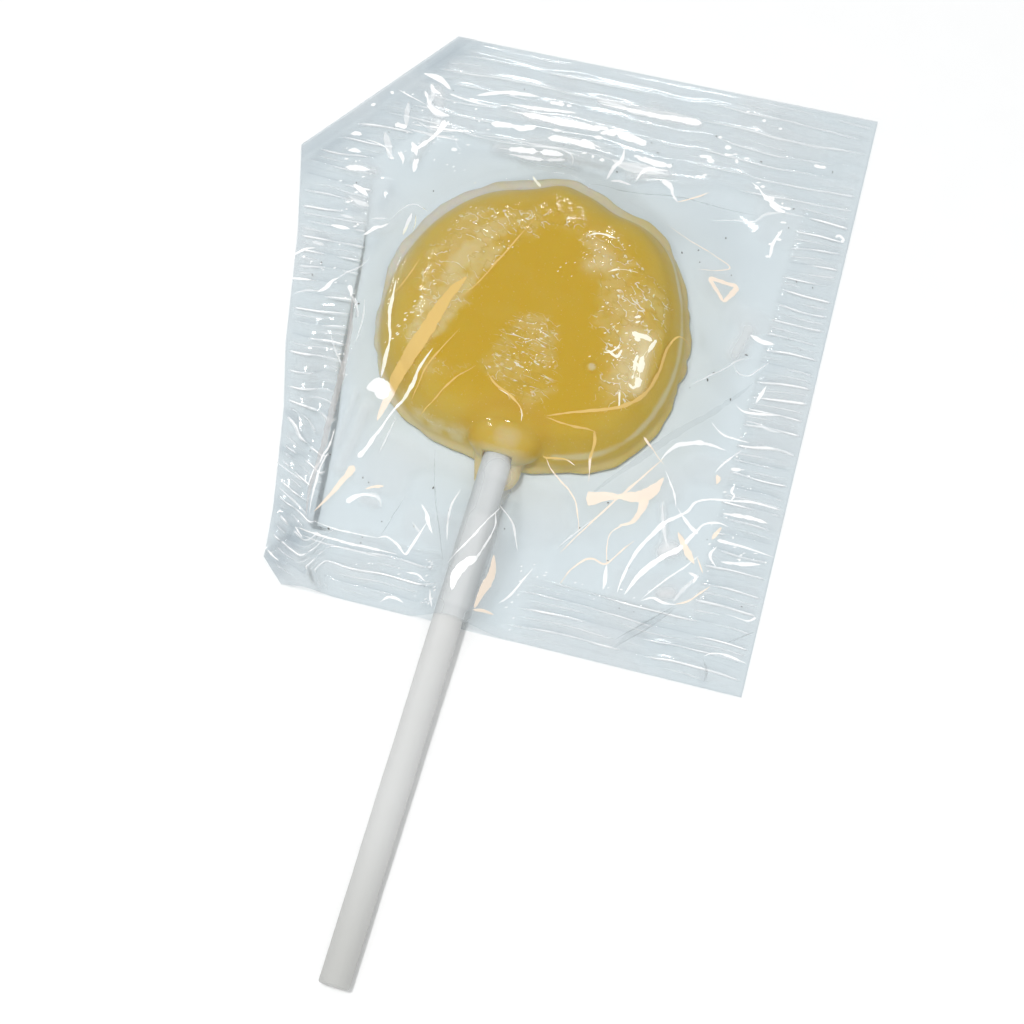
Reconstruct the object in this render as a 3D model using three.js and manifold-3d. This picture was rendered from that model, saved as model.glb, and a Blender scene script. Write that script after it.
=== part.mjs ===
// A honey lollipop that lies on its back in a clear sealed pouch, its stick out of the pouch's mouth.
// Millimetres, +Z up. The stick runs along Y, with the candy at its +Y end, and Z = 0 is the table.
// The shapes are worked out about the candy's centre, and the whole is moved at the end, so that
// the middle of its underside is the origin.
import * as THREE from 'three';
import { mergeVertices } from 'three/addons/utils/BufferGeometryUtils.js';
import Module from 'manifold-3d';

const wasm = await Module();
wasm.setup();

// ---- Driving dimensions ----

const gap = 0.3;

// The stick: its buried end lies at x, nearEnd in plan, and it drifts off the Y axis by some degrees.
const stick = {
  radius: 2,
  length: 87,
  endRounding: 0.35,
  x: 0,
  nearEnd: -6,
  drift: -0.7,
  sides: 28,
};

const candy = {
  radius: 22.4,
  height: 7.9,
  dome: 0.5,
  sides: 84,
};

// How far the candy's outline leaves a circle: lobes in the count given, each with its height and
// the bearing, in degrees from +X, of its first crest.
const candyLobes = [
  { count: 1, rise: 0.62, bearing: 155 },
  { count: 2, rise: 0.41, bearing: -41 },
  { count: 3, rise: 0.58, bearing: -32 },
  { count: 4, rise: 0.56, bearing: -34 },
];

// Places where the outline falls short of its lobes, or stands proud of them where the depth is
// below zero: bearing and half width in degrees.
const candyDents = [
  { bearing: 72, depth: 1.35, half: 13 },
  { bearing: -24, depth: 1.3, half: 24 },
  { bearing: 97, depth: -0.6, half: 7 },
  { bearing: 111, depth: 0.45, half: 9 },
  { bearing: -106, depth: 0.55, half: 9 },
  { bearing: -157, depth: -0.35, half: 20 },
];

// The candy's round shoulder: it rises from the lip to the flat of the top between two insets from
// the outline, from a low share of the height to the whole of it.
const shoulder = { from: 1.3, to: 13, low: 0.2, bend: 4, rise: 0.75 };

/** Share of the candy's height that the shoulder has reached at an inset. */
function shoulderShare(inset) {
  const passed = Math.min(Math.max((inset - shoulder.from) / (shoulder.to - shoulder.from), 0), 1);
  return shoulder.low + (1 - shoulder.low) * (1 - (1 - passed) ** shoulder.bend) ** shoulder.rise;
}

// The candy's section, from its middle underneath to its middle on top: inset from the outline and
// share of the height. The thin lip at the bottom is what the mould let through, and the shoulder
// above it has a ring at each of its insets.
const lip = { widest: 0.11, share: 0.22, reach: 0.96, ripple: 0.14, waves: [7, 13] };
const underside = [[candy.radius, 0], [candy.radius / 2, 0], [1.5, 0]];
const lipSection = [[0.35, 0.04], [0, lip.widest], [0.3, 0.17]];
const shoulderRings = [shoulder.from, 1.7, 2.4, 3.3, 4.6, 6.4, 9, shoulder.to, 18, candy.radius];
const candySection = [
  ...underside,
  ...lipSection,
  ...shoulderRings.map((inset) => [inset, shoulderShare(inset)]),
];
const topRelief = { rise: 0.16, across: 6.5, along: 8.5, shift: [0.8, -0.5], fade: [0.1, 0.3] };

// The lump of honey round the stick where it leaves the candy, and the thin collar that runs from it
// down the stick.
const boss = { place: [0.2, -18.2, 4.4], radii: [5.3, 3.9, 3.7], sides: [22, 14] };
const collar = { from: -18, to: -23.2, wide: 3.1, narrow: 2.6, sides: 20 };

// The film's thickness over the candy, under it and in the seals. Real film is far thinner.
const pouch = {
  wall: 0.55,
  under: 0.4,
  seal: 0.62,
  ridgeRise: 0.48,
  ridgeFade: [-1.5, 0.5],
  rows: 82,
  sideColumns: 17,
  middleColumns: 10,
  middle: 6.5,
};

// The candy's underside lies on the pouch's lower film.
const candyFloor = pouch.under + gap;

// The pouch's corners in plan. The upper left one is folded over along a slant, and the lower left
// one is turned in a little.
const corners = {
  bottomRight: [39.1, -42.9],
  topRight: [37.6, 43.1],
  foldTop: [-23.1, 39.9],
  foldSide: [-39.8, 17.4],
  waist: [-33.2, -11.4],
  heel: [-28.2, -34],
  turnSide: [-26.7, -41.6],
  turnBottom: [-23.4, -44.5],
};
const sealWidth = { top: 15.5, right: 8.5, bottom: 9, leftTop: 10.5, leftBottom: 5.5 };

// The bottom seal is left open round the stick: middle and half width across, and where along Y
// the ridges fade out.
const mouth = { x: 2, half: 7, bend: 4, fade: [20, 30] };

// The film leaves the candy's shoulder, at an inset from its outline, in a steep skirt that runs out
// into a slack slope, and stands up over the stick like a ridge tent.
const tent = { inset: 3, skirt: 4.2, skirtBend: 1.4, slack: 2.1, soften: 0.8 };
const stickTent = { flat: 2.7, spread: 4.2, bend: 1.5, fade: [12, 18] };

// Creases in the film: from one point to another in plan, with their rise and half width.
const creases = [
  { from: [4.9, -37.8], to: [16.2, -18.7], rise: 0.5, half: 1.3 },
  { from: [16.2, -18.7], to: [33.2, -9.5], rise: 0.5, half: 1.2 },
  { from: [19.6, -34], to: [25.2, -21.3], rise: 0.6, half: 1.3 },
  { from: [25.2, -21.3], to: [33.2, -17.9], rise: 0.5, half: 1.2 },
  { from: [19.9, 33.3], to: [26.6, 26.3], rise: 0.7, half: 1.3 },
  { from: [26.6, 26.3], to: [38, 24.5], rise: 0.5, half: 1.2 },
  { from: [22.5, 13], to: [33, 16], rise: 0.5, half: 1.3 },
  { from: [-26, 8], to: [-35, -6], rise: 0.6, half: 1.2 },
  { from: [-20, -12], to: [-26, -27], rise: 0.6, half: 1.2 },
  { from: [-12, -22], to: [-22, -36], rise: 0.7, half: 1.3 },
  { from: [-4, -26], to: [-9, -36], rise: 0.5, half: 1.2 },
  { from: [8, -24], to: [12, -35], rise: 0.5, half: 1.3 },
];
const creaseFade = { in: 0.2, out: 0.6, loss: 0.6 };
const foldLayer = { rise: 0.3, soften: 1.2 };

// ---- Small helpers ----

const radians = THREE.MathUtils.degToRad;
const { lerp, smoothstep } = THREE.MathUtils;

/** The larger of two heights, with the corner between them rounded over the given width. */
function roundedMax(a, b, width) {
  const overlap = Math.max(width - Math.abs(a - b), 0) / width;
  return Math.max(a, b) + (overlap * overlap * width) / 4;
}

/** Distance in plan from a point to the line piece between two others, and where along it. */
function toSegment(x, y, from, to) {
  const dx = to[0] - from[0];
  const dy = to[1] - from[1];
  const along = ((x - from[0]) * dx + (y - from[1]) * dy) / (dx * dx + dy * dy);
  const t = Math.min(Math.max(along, 0), 1);
  return { distance: Math.hypot(x - from[0] - t * dx, y - from[1] - t * dy), along: t };
}

/** Distance to the left of the directed line through two points, in plan. */
function leftOf(x, y, from, to) {
  const dx = to[0] - from[0];
  const dy = to[1] - from[1];
  return (dx * (y - from[1]) - dy * (x - from[0])) / Math.hypot(dx, dy);
}

/** A value read off a list of [place, value] pairs in rising order of place. */
function readOff(pairs, place) {
  const last = pairs.length - 1;
  if (place <= pairs[0][0]) return pairs[0][1];
  if (place >= pairs[last][0]) return pairs[last][1];
  const i = pairs.findIndex((pair) => pair[0] >= place);
  const [a, b] = [pairs[i - 1], pairs[i]];
  return lerp(a[1], b[1], (place - a[0]) / (b[0] - a[0]));
}

/** The closed solid that a geometry bounds. */
function solidOf(geometry) {
  const bare = geometry.clone();
  for (const name of Object.keys(bare.attributes)) {
    if (name !== 'position') bare.deleteAttribute(name);
  }
  const merged = mergeVertices(bare, 1e-4);
  const { array } = merged.index;
  const triangles = [];
  for (let i = 0; i < array.length; i += 3) {
    const [a, b, c] = [array[i], array[i + 1], array[i + 2]];
    if (a !== b && b !== c && c !== a) triangles.push(a, b, c);
  }
  return new wasm.Manifold(new wasm.Mesh({
    numProp: 3,
    vertProperties: new Float32Array(merged.attributes.position.array),
    triVerts: new Uint32Array(triangles),
  }));
}

/** The flat-shaded geometry of a solid. */
function geometryOf(solid) {
  const { vertProperties, triVerts } = solid.getMesh();
  const geometry = new THREE.BufferGeometry();
  geometry.setAttribute('position', new THREE.BufferAttribute(vertProperties, 3));
  geometry.setIndex(new THREE.BufferAttribute(triVerts, 1));
  geometry.computeVertexNormals();
  return geometry;
}

// ---- The stick's line ----

// The buried end is half way up the candy, and the far end's lower edge rests on the table.
const stickNear = new THREE.Vector3(stick.x, stick.nearEnd, candyFloor + candy.height / 2);
const stickDrop = Math.asin((stickNear.z - stick.radius) / stick.length);
const stickFar = new THREE.Vector3(
  stickNear.x + stick.length * Math.sin(radians(stick.drift)),
  stickNear.y - stick.length * Math.cos(stickDrop),
  stick.radius * Math.cos(stickDrop),
);
const stickDirection = new THREE.Vector3().subVectors(stickNear, stickFar).normalize();

/** Height of the stick's centre line at a place along Y. */
function stickHeight(y) {
  return stickNear.z + ((y - stickNear.y) * stickDirection.z) / stickDirection.y;
}

/** A lathed rod along the stick's line, from its far end on. */
function rodAlongStick(radius, rounding, length, sides) {
  const section = [
    new THREE.Vector2(0, 0),
    new THREE.Vector2(radius - rounding, 0),
    new THREE.Vector2(radius, rounding),
    new THREE.Vector2(radius, length - rounding),
    new THREE.Vector2(radius - rounding, length),
    new THREE.Vector2(0, length),
  ];
  const rod = new THREE.LatheGeometry(section, sides);
  rod.applyQuaternion(new THREE.Quaternion().setFromUnitVectors(new THREE.Vector3(0, 1, 0), stickDirection));
  rod.translate(stickFar.x, stickFar.y, stickFar.z);
  return rod;
}

// ---- The candy ----

/** Degrees between a bearing in radians and one in degrees, up to 180 either way. */
function degreesApart(bearing, other) {
  const apart = bearing - radians(other);
  return THREE.MathUtils.radToDeg(Math.atan2(Math.sin(apart), Math.cos(apart)));
}

/** The candy's outline: its radius at a bearing in radians. */
function candyOutline(bearing) {
  const lobed = candyLobes.reduce(
    (sum, lobe) => sum + lobe.rise * Math.cos(lobe.count * (bearing - radians(lobe.bearing))),
    candy.radius,
  );
  return candyDents.reduce(
    (sum, dent) => sum - dent.depth * Math.exp(-((degreesApart(bearing, dent.bearing) / dent.half) ** 2)),
    lobed,
  );
}

/** Uneven edge of the mould lip at a bearing. */
function lipRipple(bearing) {
  return lip.waves.reduce((sum, wave, i) => sum + lip.ripple * Math.sin(wave * bearing + i), 0);
}

/** Shape of the candy's top: a low dome with shallow waves that fade towards the rim. */
function topShape(x, y) {
  const share = Math.min(Math.hypot(x, y) / candy.radius, 1);
  const { rise, across, along, shift, fade } = topRelief;
  const waves = rise * Math.sin(x / across + shift[0]) * Math.sin(y / along + shift[1]);
  return candy.dome * (1 - share * share) + waves * smoothstep(1 - share, ...fade);
}

/** The candy with its boss and collar, grown outwards on all sides by a clearance. */
function candySolid(grow, sides) {
  const points = candySection.map(([inset, share]) => {
    const radius = inset < candy.radius ? candy.radius - inset + grow : 0;
    return new THREE.Vector2(radius, share * candy.height + grow * Math.sign(share - lip.widest));
  });
  const disc = new THREE.LatheGeometry(points, sides);
  disc.rotateX(Math.PI / 2);
  const place = disc.attributes.position;
  for (let i = 0; i < place.count; i += 1) {
    const x = place.getX(i);
    const y = place.getY(i);
    const z = place.getZ(i);
    const bearing = Math.atan2(y, x);
    const isLip = Math.hypot(x, y) > lip.reach * candy.radius && z < lip.share * candy.height;
    const ripple = isLip ? lipRipple(bearing) : 0;
    const reach = (candyOutline(bearing) + ripple) / candy.radius;
    const rise = z > candy.height / 2 ? topShape(x, y) : 0;
    place.setXYZ(i, x * reach, y * reach, z + candyFloor + rise);
  }
  const lump = new THREE.SphereGeometry(1, ...boss.sides);
  lump.scale(...boss.radii.map((radius) => radius + grow));
  lump.translate(...boss.place);
  return solidOf(disc).add(solidOf(lump)).add(solidOf(collarGeometry(grow)));
}

/** Height of the lump's upper side at a point, and zero beside it. */
function bossTop(x, y) {
  const [across, along] = [(x - boss.place[0]) / boss.radii[0], (y - boss.place[1]) / boss.radii[1]];
  const left = 1 - across ** 2 - along ** 2;
  return left > 0 ? boss.place[2] + boss.radii[2] * Math.sqrt(left) : 0;
}

/** The thin sleeve of honey that runs down the stick from the candy. */
function collarGeometry(grow) {
  const length = collar.from - collar.to + grow;
  const sleeve = new THREE.CylinderGeometry(collar.wide + grow, collar.narrow + grow, length, collar.sides);
  sleeve.translate(0, -length / 2, 0);
  sleeve.applyQuaternion(new THREE.Quaternion().setFromUnitVectors(new THREE.Vector3(0, 1, 0), stickDirection));
  sleeve.translate(stickNear.x, collar.from, stickHeight(collar.from));
  return sleeve;
}

// ---- The pouch ----

/** Height of the bottom edge's line in plan, and of the top edge's, at a place across. */
function bottomEdge(x) {
  const { turnBottom, bottomRight } = corners;
  return lerp(turnBottom[1], bottomRight[1], (x - turnBottom[0]) / (bottomRight[0] - turnBottom[0]));
}
function topEdge(x) {
  const { foldTop, topRight } = corners;
  return lerp(foldTop[1], topRight[1], (x - foldTop[0]) / (topRight[0] - foldTop[0]));
}

/** How far up the pouch a point lies, from 0 at the bottom edge to 1 at the top edge. */
function shareUp([x, y]) {
  return (y - bottomEdge(x)) / (topEdge(x) - bottomEdge(x));
}

const leftCorners = ['turnBottom', 'turnSide', 'heel', 'waist', 'foldSide', 'foldTop'];
const leftEdge = leftCorners.map((name) => [shareUp(corners[name]), corners[name][0]]);
const rightEdge = [[0, corners.bottomRight[0]], [1, corners.topRight[0]]];
const leftSeal = [[0, sealWidth.leftBottom], [shareUp(corners.foldSide), sealWidth.leftTop]];

/** Distance inward from the seals at a point: above zero where the pouch is open. */
function insideSeals(x, y) {
  const up = shareUp([x, y]);
  return Math.min(
    x - readOff(leftEdge, up) - readOff(leftSeal, up),
    readOff(rightEdge, up) - sealWidth.right - x,
    topEdge(x) - sealWidth.top - y,
    y - bottomEdge(x) - sealWidth.bottom,
  );
}

/** Height of the film over the candy and down the slopes round it. */
function tentHeight(x, y) {
  const beyond = Math.hypot(x, y) - candyOutline(Math.atan2(y, x));
  const share = shoulderShare(Math.max(-beyond, tent.inset));
  const crown = candyFloor + share * candy.height + topShape(x, y) + gap + pouch.wall;
  const out = beyond + tent.inset;
  if (out <= 0) return crown;
  const room = Math.max(insideSeals(x, y), 0);
  const slope = (room / (out + room)) ** tent.slack;
  const skirt = Math.exp(-((out / tent.skirt) ** tent.skirtBend));
  return lerp(pouch.seal, crown, Math.max(slope, skirt));
}

/** Height of the film over the stick, below the candy. */
function stickTentHeight(x, y) {
  const crest = stickHeight(y) + stick.radius + 2 * gap + pouch.wall;
  const aside = Math.max(Math.abs(x - stickNear.x) - stickTent.flat, 0);
  const fade = smoothstep(-y, ...stickTent.fade);
  return lerp(pouch.seal, crest, fade * Math.exp(-((aside / stickTent.spread) ** stickTent.bend)));
}

/** Rise of the creases at a point. */
function creaseRise(x, y) {
  return creases.reduce((sum, crease) => {
    const { distance, along } = toSegment(x, y, crease.from, crease.to);
    const start = smoothstep(along, 0, creaseFade.in);
    const end = 1 - creaseFade.loss * smoothstep(along, creaseFade.out, 1);
    return sum + crease.rise * start * end * Math.exp(-((distance / crease.half) ** 2));
  }, 0);
}

/** The second layer of film where the upper left corner is folded over. */
function foldRise(x, y) {
  const { foldTop, foldSide } = corners;
  const corner = [foldSide[0], foldTop[1]];
  const away = leftOf(corner[0], corner[1], foldSide, foldTop);
  const slant = new THREE.Vector2(foldTop[0] - foldSide[0], foldTop[1] - foldSide[1]).normalize();
  const tip = [corner[0] + 2 * away * slant.y, corner[1] - 2 * away * slant.x];
  const depth = Math.min(leftOf(x, y, foldSide, tip), leftOf(x, y, tip, foldTop));
  return foldLayer.rise * smoothstep(depth, -foldLayer.soften, foldLayer.soften);
}

/** Height of the pouch's upper face at a point. Every second row of a seal is a ridge. */
function filmHeight(x, y, row) {
  const tents = roundedMax(tentHeight(x, y), stickTentHeight(x, y), tent.soften);
  const hollow = roundedMax(tents, bossTop(x, y) + gap + pouch.wall, tent.soften);
  const open = Math.exp(-(((x - mouth.x) / mouth.half) ** mouth.bend)) * smoothstep(-y, ...mouth.fade);
  const crimp = (1 - smoothstep(insideSeals(x, y), ...pouch.ridgeFade)) * (1 - open);
  const ridge = row % 2 === 0 ? 0 : pouch.ridgeRise * crimp;
  return hollow + ridge + creaseRise(x, y) + foldRise(x, y);
}

/** Places of the grid's columns between the pouch's left and right edge. */
function columnPlaces(left, right) {
  const { sideColumns, middleColumns, middle } = pouch;
  const places = [];
  for (let i = 0; i < sideColumns; i += 1) places.push(lerp(left, -middle, i / sideColumns));
  for (let i = 0; i < middleColumns; i += 1) places.push(lerp(-middle, middle, i / middleColumns));
  for (let i = 0; i <= sideColumns; i += 1) places.push(lerp(middle, right, i / sideColumns));
  return places;
}

/** The pouch as a filled sheet: its relief on top, and flat where it lies on the table. */
function pouchGeometry() {
  const vertices = [];
  const grid = [];
  for (let row = 0; row <= pouch.rows; row += 1) {
    const up = row / pouch.rows;
    grid.push(columnPlaces(readOff(leftEdge, up), readOff(rightEdge, up)).map((x) => {
      const y = lerp(bottomEdge(x), topEdge(x), up);
      vertices.push(x, y, filmHeight(x, y, row));
      return vertices.length / 3 - 1;
    }));
  }
  const indices = [];
  const last = grid[0].length - 1;
  for (let row = 0; row < pouch.rows; row += 1) {
    for (let column = 0; column < last; column += 1) {
      const [a, b] = [grid[row][column], grid[row][column + 1]];
      const [c, d] = [grid[row + 1][column + 1], grid[row + 1][column]];
      indices.push(a, b, c, a, c, d);
    }
  }
  const rim = [
    ...grid[0].slice(0, last),
    ...grid.slice(0, pouch.rows).map((line) => line[last]),
    ...grid[pouch.rows].slice(1).reverse(),
    ...grid.slice(1).map((line) => line[0]).reverse(),
  ];
  const firstBelow = vertices.length / 3;
  for (const i of rim) vertices.push(vertices[3 * i], vertices[3 * i + 1], 0);
  const middle = vertices.length / 3;
  vertices.push(0, 0, 0);
  rim.forEach((above, i) => {
    const next = (i + 1) % rim.length;
    const [below, nextBelow] = [firstBelow + i, firstBelow + next];
    indices.push(above, below, nextBelow, above, nextBelow, rim[next]);
    indices.push(nextBelow, below, middle);
  });
  const geometry = new THREE.BufferGeometry();
  geometry.setAttribute('position', new THREE.Float32BufferAttribute(vertices, 3));
  geometry.setIndex(indices);
  return geometry;
}

// ---- The pieces ----

const materials = {
  candy: new THREE.MeshStandardMaterial({ color: 0xc9a444, roughness: 0.25, metalness: 0 }),
  stick: new THREE.MeshStandardMaterial({ color: 0xe9e7e3, roughness: 0.6, metalness: 0 }),
  film: new THREE.MeshStandardMaterial({
    color: 0xd3dae0, roughness: 0.12, metalness: 0, transparent: true, opacity: 0.35,
  }),
};

/** A named mesh. */
function piece(name, geometry, material) {
  const mesh = new THREE.Mesh(geometry, material);
  mesh.name = name;
  return mesh;
}

const bore = solidOf(rodAlongStick(stick.radius + gap, gap, stick.length + gap, stick.sides));
const candyPiece = piece('candy', geometryOf(candySolid(0, candy.sides).subtract(bore)), materials.candy);

const stickGeometry = rodAlongStick(stick.radius, stick.endRounding, stick.length, stick.sides);
const stickPiece = piece('stick', geometryOf(solidOf(stickGeometry)), materials.stick);

const hollow = candySolid(gap, candy.sides / 2).add(bore);
const wrapperPiece = piece('wrapper', geometryOf(solidOf(pouchGeometry()).subtract(hollow)), materials.film);

const lollipop = new THREE.Group();
lollipop.add(candyPiece, stickPiece, wrapperPiece);

// The origin is the middle of the underside.
const box = new THREE.Box3().setFromObject(lollipop);
lollipop.position.set(-(box.min.x + box.max.x) / 2, -(box.min.y + box.max.y) / 2, -box.min.z);

export default lollipop;
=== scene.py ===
"""Looks of a honey lollipop in its clear sealed pouch, lying on a pale table.

The shapes are worked out in millimetres over a plan whose origin is the middle of the candy, with
+Y along the stick towards the candy and Z up from the table. Plan turns them into metres in the
row's frame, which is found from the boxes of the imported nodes.
"""
from __future__ import annotations

import functools
import logging
import math
from dataclasses import dataclass, field
from enum import Enum
from typing import Callable, Sequence

import bpy
import numpy as np
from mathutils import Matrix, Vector

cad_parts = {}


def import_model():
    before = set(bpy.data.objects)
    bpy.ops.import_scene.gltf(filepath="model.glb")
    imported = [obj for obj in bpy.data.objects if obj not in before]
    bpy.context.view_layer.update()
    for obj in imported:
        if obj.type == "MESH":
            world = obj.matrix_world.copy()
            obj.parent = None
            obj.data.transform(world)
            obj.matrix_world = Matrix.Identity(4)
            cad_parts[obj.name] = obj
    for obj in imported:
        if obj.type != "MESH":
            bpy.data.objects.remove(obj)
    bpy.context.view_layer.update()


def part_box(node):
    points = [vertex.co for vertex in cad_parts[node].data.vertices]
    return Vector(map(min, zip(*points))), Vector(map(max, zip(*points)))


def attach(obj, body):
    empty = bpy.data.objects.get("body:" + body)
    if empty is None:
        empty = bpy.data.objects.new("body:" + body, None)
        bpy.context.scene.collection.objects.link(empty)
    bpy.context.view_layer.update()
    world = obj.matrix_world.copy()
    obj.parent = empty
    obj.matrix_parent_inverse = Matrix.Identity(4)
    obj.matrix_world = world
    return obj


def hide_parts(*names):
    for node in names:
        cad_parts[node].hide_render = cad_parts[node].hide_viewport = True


LOG = logging.getLogger("lollipop")
MM = 0.001
BODY = "root"

# Distance between the crimped ridges, in millimetres.
RIDGE_PITCH = 2.3

Array = np.ndarray
Point = tuple[float, float]


# ---- Number helpers ----------------------------------------------------------------------------


def smoothstep(value: Array, low: float, high: float) -> Array:
    """Rises smoothly from 0 at low to 1 at high.

    Args:
        value: Where to read it.
        low: Value at which the rise starts.
        high: Value at which it ends.

    Returns:
        The share risen at each value.
    """
    share = np.clip((value - low) / (high - low), 0.0, 1.0)
    return share * share * (3.0 - 2.0 * share)


def falling(value: Array, low: float, high: float) -> Array:
    """Falls smoothly from 1 at low to 0 at high."""
    return 1.0 - smoothstep(value, low, high)


def bell(value: Array, middle: float, half: float) -> Array:
    """Bell curve that is 1 at its middle, and near 0 from twice its half width on."""
    return np.exp(-(((value - middle) / half) ** 2))


def blend(start: Array, end: Array, share: Array) -> Array:
    """Value that lies a share of the way from start to end."""
    return start + (end - start) * share


def rounded_max(first: Array, second: Array, width: float) -> Array:
    """Larger of two heights, with the corner between them rounded.

    Args:
        first: One surface's heights.
        second: The other's.
        width: Difference in height at which the rounding starts.

    Returns:
        The joined surface's heights.
    """
    overlap = np.maximum(width - np.abs(first - second), 0.0) / width
    return np.maximum(first, second) + overlap * overlap * width / 4.0


def along_segment(x: Array, y: Array, start: Point, end: Point) -> tuple[Array, Array]:
    """Distance in plan to a line piece, and the share of it that is passed.

    Args:
        x: Places across.
        y: Places along.
        start: First end of the line piece.
        end: Its other end.

    Returns:
        The distances, and the shares from 0 at start to 1 at end.
    """
    step_x, step_y = end[0] - start[0], end[1] - start[1]
    share = ((x - start[0]) * step_x + (y - start[1]) * step_y) / (step_x**2 + step_y**2)
    share = np.clip(share, 0.0, 1.0)
    return np.hypot(x - start[0] - share * step_x, y - start[1] - share * step_y), share


def degrees_apart(bearing: Array, other: float) -> Array:
    """Degrees from a bearing in degrees to bearings in radians, up to 180 either way."""
    return np.degrees(np.angle(np.exp(1j * (bearing - math.radians(other)))))


class Grain:
    """Smooth seeded noise over the plan, between -1 and 1."""

    CELLS = 64

    def __init__(self, seed: int) -> None:
        """Draws the lattice that the noise is read from."""
        self.lattice = np.random.default_rng(seed).uniform(-1.0, 1.0, (self.CELLS, self.CELLS))

    def __call__(self, x: Array, y: Array) -> Array:
        """Reads the noise, whose features are about one unit across.

        Args:
            x: Places across, in features.
            y: Places along, in features.

        Returns:
            The noise at each place.
        """
        column, row = np.floor(x).astype(int), np.floor(y).astype(int)
        across, along = x - column, y - row
        across = across**3 * (across * (across * 6.0 - 15.0) + 10.0)
        along = along**3 * (along * (along * 6.0 - 15.0) + 10.0)
        left, right = column % self.CELLS, (column + 1) % self.CELLS
        low, high = row % self.CELLS, (row + 1) % self.CELLS
        bottom = blend(self.lattice[low, left], self.lattice[low, right], across)
        top = blend(self.lattice[high, left], self.lattice[high, right], across)
        return blend(bottom, top, along)


# ---- Shared shapes -----------------------------------------------------------------------------


@dataclass(frozen=True)
class Lobe:
    """Even swells of the candy's outline: their number, their rise and the first one's bearing."""

    count: int
    rise: float
    bearing: float

    def at(self, bearing: Array) -> Array:
        """Rise at bearings in radians."""
        return self.rise * np.cos(self.count * (bearing - math.radians(self.bearing)))


@dataclass(frozen=True)
class Dent:
    """Where the outline falls short of its lobes, or stands proud if the depth is below zero."""

    bearing: float
    depth: float
    half: float

    def at(self, bearing: Array) -> Array:
        """Depth at bearings in radians."""
        return self.depth * bell(degrees_apart(bearing, self.bearing), 0.0, self.half)


@dataclass(frozen=True)
class CandyOutline:
    """The candy's outline and top in plan, in millimetres."""

    radius: float = 22.4
    lobes: tuple[Lobe, ...] = (
        Lobe(1, 0.62, 155.0), Lobe(2, 0.41, -41.0), Lobe(3, 0.58, -32.0), Lobe(4, 0.56, -34.0),
    )
    dents: tuple[Dent, ...] = (
        Dent(72.0, 1.35, 13.0), Dent(-24.0, 1.3, 24.0), Dent(97.0, -0.6, 7.0),
        Dent(111.0, 0.45, 9.0), Dent(-106.0, 0.55, 9.0), Dent(-157.0, -0.35, 20.0),
    )
    dome: float = 0.5
    top: float = 8.6
    # Inset and height of the shoulder's foot, and the inset from which the top is flat.
    lip: tuple[float, float] = (0.75, 1.8)
    flat_from: float = 13.0
    wave: float = 0.16
    wavelengths: Point = (6.5, 8.5)

    def reach(self, bearing: Array) -> Array:
        """Radius of the outline at bearings in radians."""
        swell = sum(lobe.at(bearing) for lobe in self.lobes)
        return self.radius + swell - sum(dent.at(bearing) for dent in self.dents)

    def beyond(self, x: Array, y: Array) -> Array:
        """Distance outward from the outline, below zero over the candy."""
        return np.hypot(x, y) - self.reach(np.arctan2(y, x))

    def shoulder(self, inset: Array) -> Array:
        """Height of the round shoulder at distances inward from the outline."""
        passed = np.clip((inset - self.lip[0]) / (self.flat_from - self.lip[0]), 0.0, 1.0)
        return blend(self.lip[1], self.top, (1.0 - (1.0 - passed) ** 4) ** 0.75)

    def swell(self, x: Array, y: Array) -> Array:
        """Rise of the low dome and the shallow waves on the candy's top."""
        share = np.minimum(np.hypot(x, y) / self.radius, 1.0)
        long_x, long_y = self.wavelengths
        waves = self.wave * np.sin(x / long_x + 0.8) * np.sin(y / long_y - 0.5)
        return self.dome * (1.0 - share**2) + waves * smoothstep(1.0 - share, 0.1, 0.3)

    def crown(self, x: Array, y: Array, least_inset: float) -> Array:
        """Height of the candy's top, taken to run on outward as it is at the least inset."""
        return self.shoulder(np.maximum(-self.beyond(x, y), least_inset)) + self.swell(x, y)

    def high_corner(self) -> tuple[float, float]:
        """Largest X and largest Y that the outline reaches."""
        bearing = np.linspace(0.0, math.tau, 1441)
        reach = self.reach(bearing)
        return float((reach * np.cos(bearing)).max()), float((reach * np.sin(bearing)).max())


@dataclass(frozen=True)
class Boss:
    """The lump of honey where the stick goes in: an egg by its middle and radii, in millimetres."""

    place: tuple[float, float, float] = (0.2, -18.0, 4.4)
    radii: tuple[float, float, float] = (5.3, 3.7, 3.6)

    def top(self, x: Array, y: Array) -> Array:
        """Height of the lump's upper side, and zero beside it."""
        left = 1.0 - self.away(x, y) ** 2
        top = self.place[2] + self.radii[2] * np.sqrt(np.maximum(left, 0.0))
        return np.where(left > 0.0, top, 0.0)

    def away(self, x: Array, y: Array) -> Array:
        """Distance in plan from its middle, in its radii."""
        return np.hypot((x - self.place[0]) / self.radii[0], (y - self.place[1]) / self.radii[1])


class Plan:
    """Turns the candy-centred millimetres into metres in the row's frame."""

    def __init__(self, outline: CandyOutline) -> None:
        """Finds the candy's middle from its node's box and the outline's own reach."""
        _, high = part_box("candy")
        reach_x, reach_y = outline.high_corner()
        self.origin = np.array([high[0] - reach_x * MM, high[1] - reach_y * MM, 0.0])

    def place(self, points: Array) -> Array:
        """Points in millimetres over the plan, as metres in the row's frame."""
        return np.asarray(points, dtype=float) * MM + self.origin

    def vector(self, x: float, y: float, z: float) -> Vector:
        """One point over the plan as a vector in the row's frame."""
        return Vector(self.place(np.array([x, y, z])))


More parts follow.
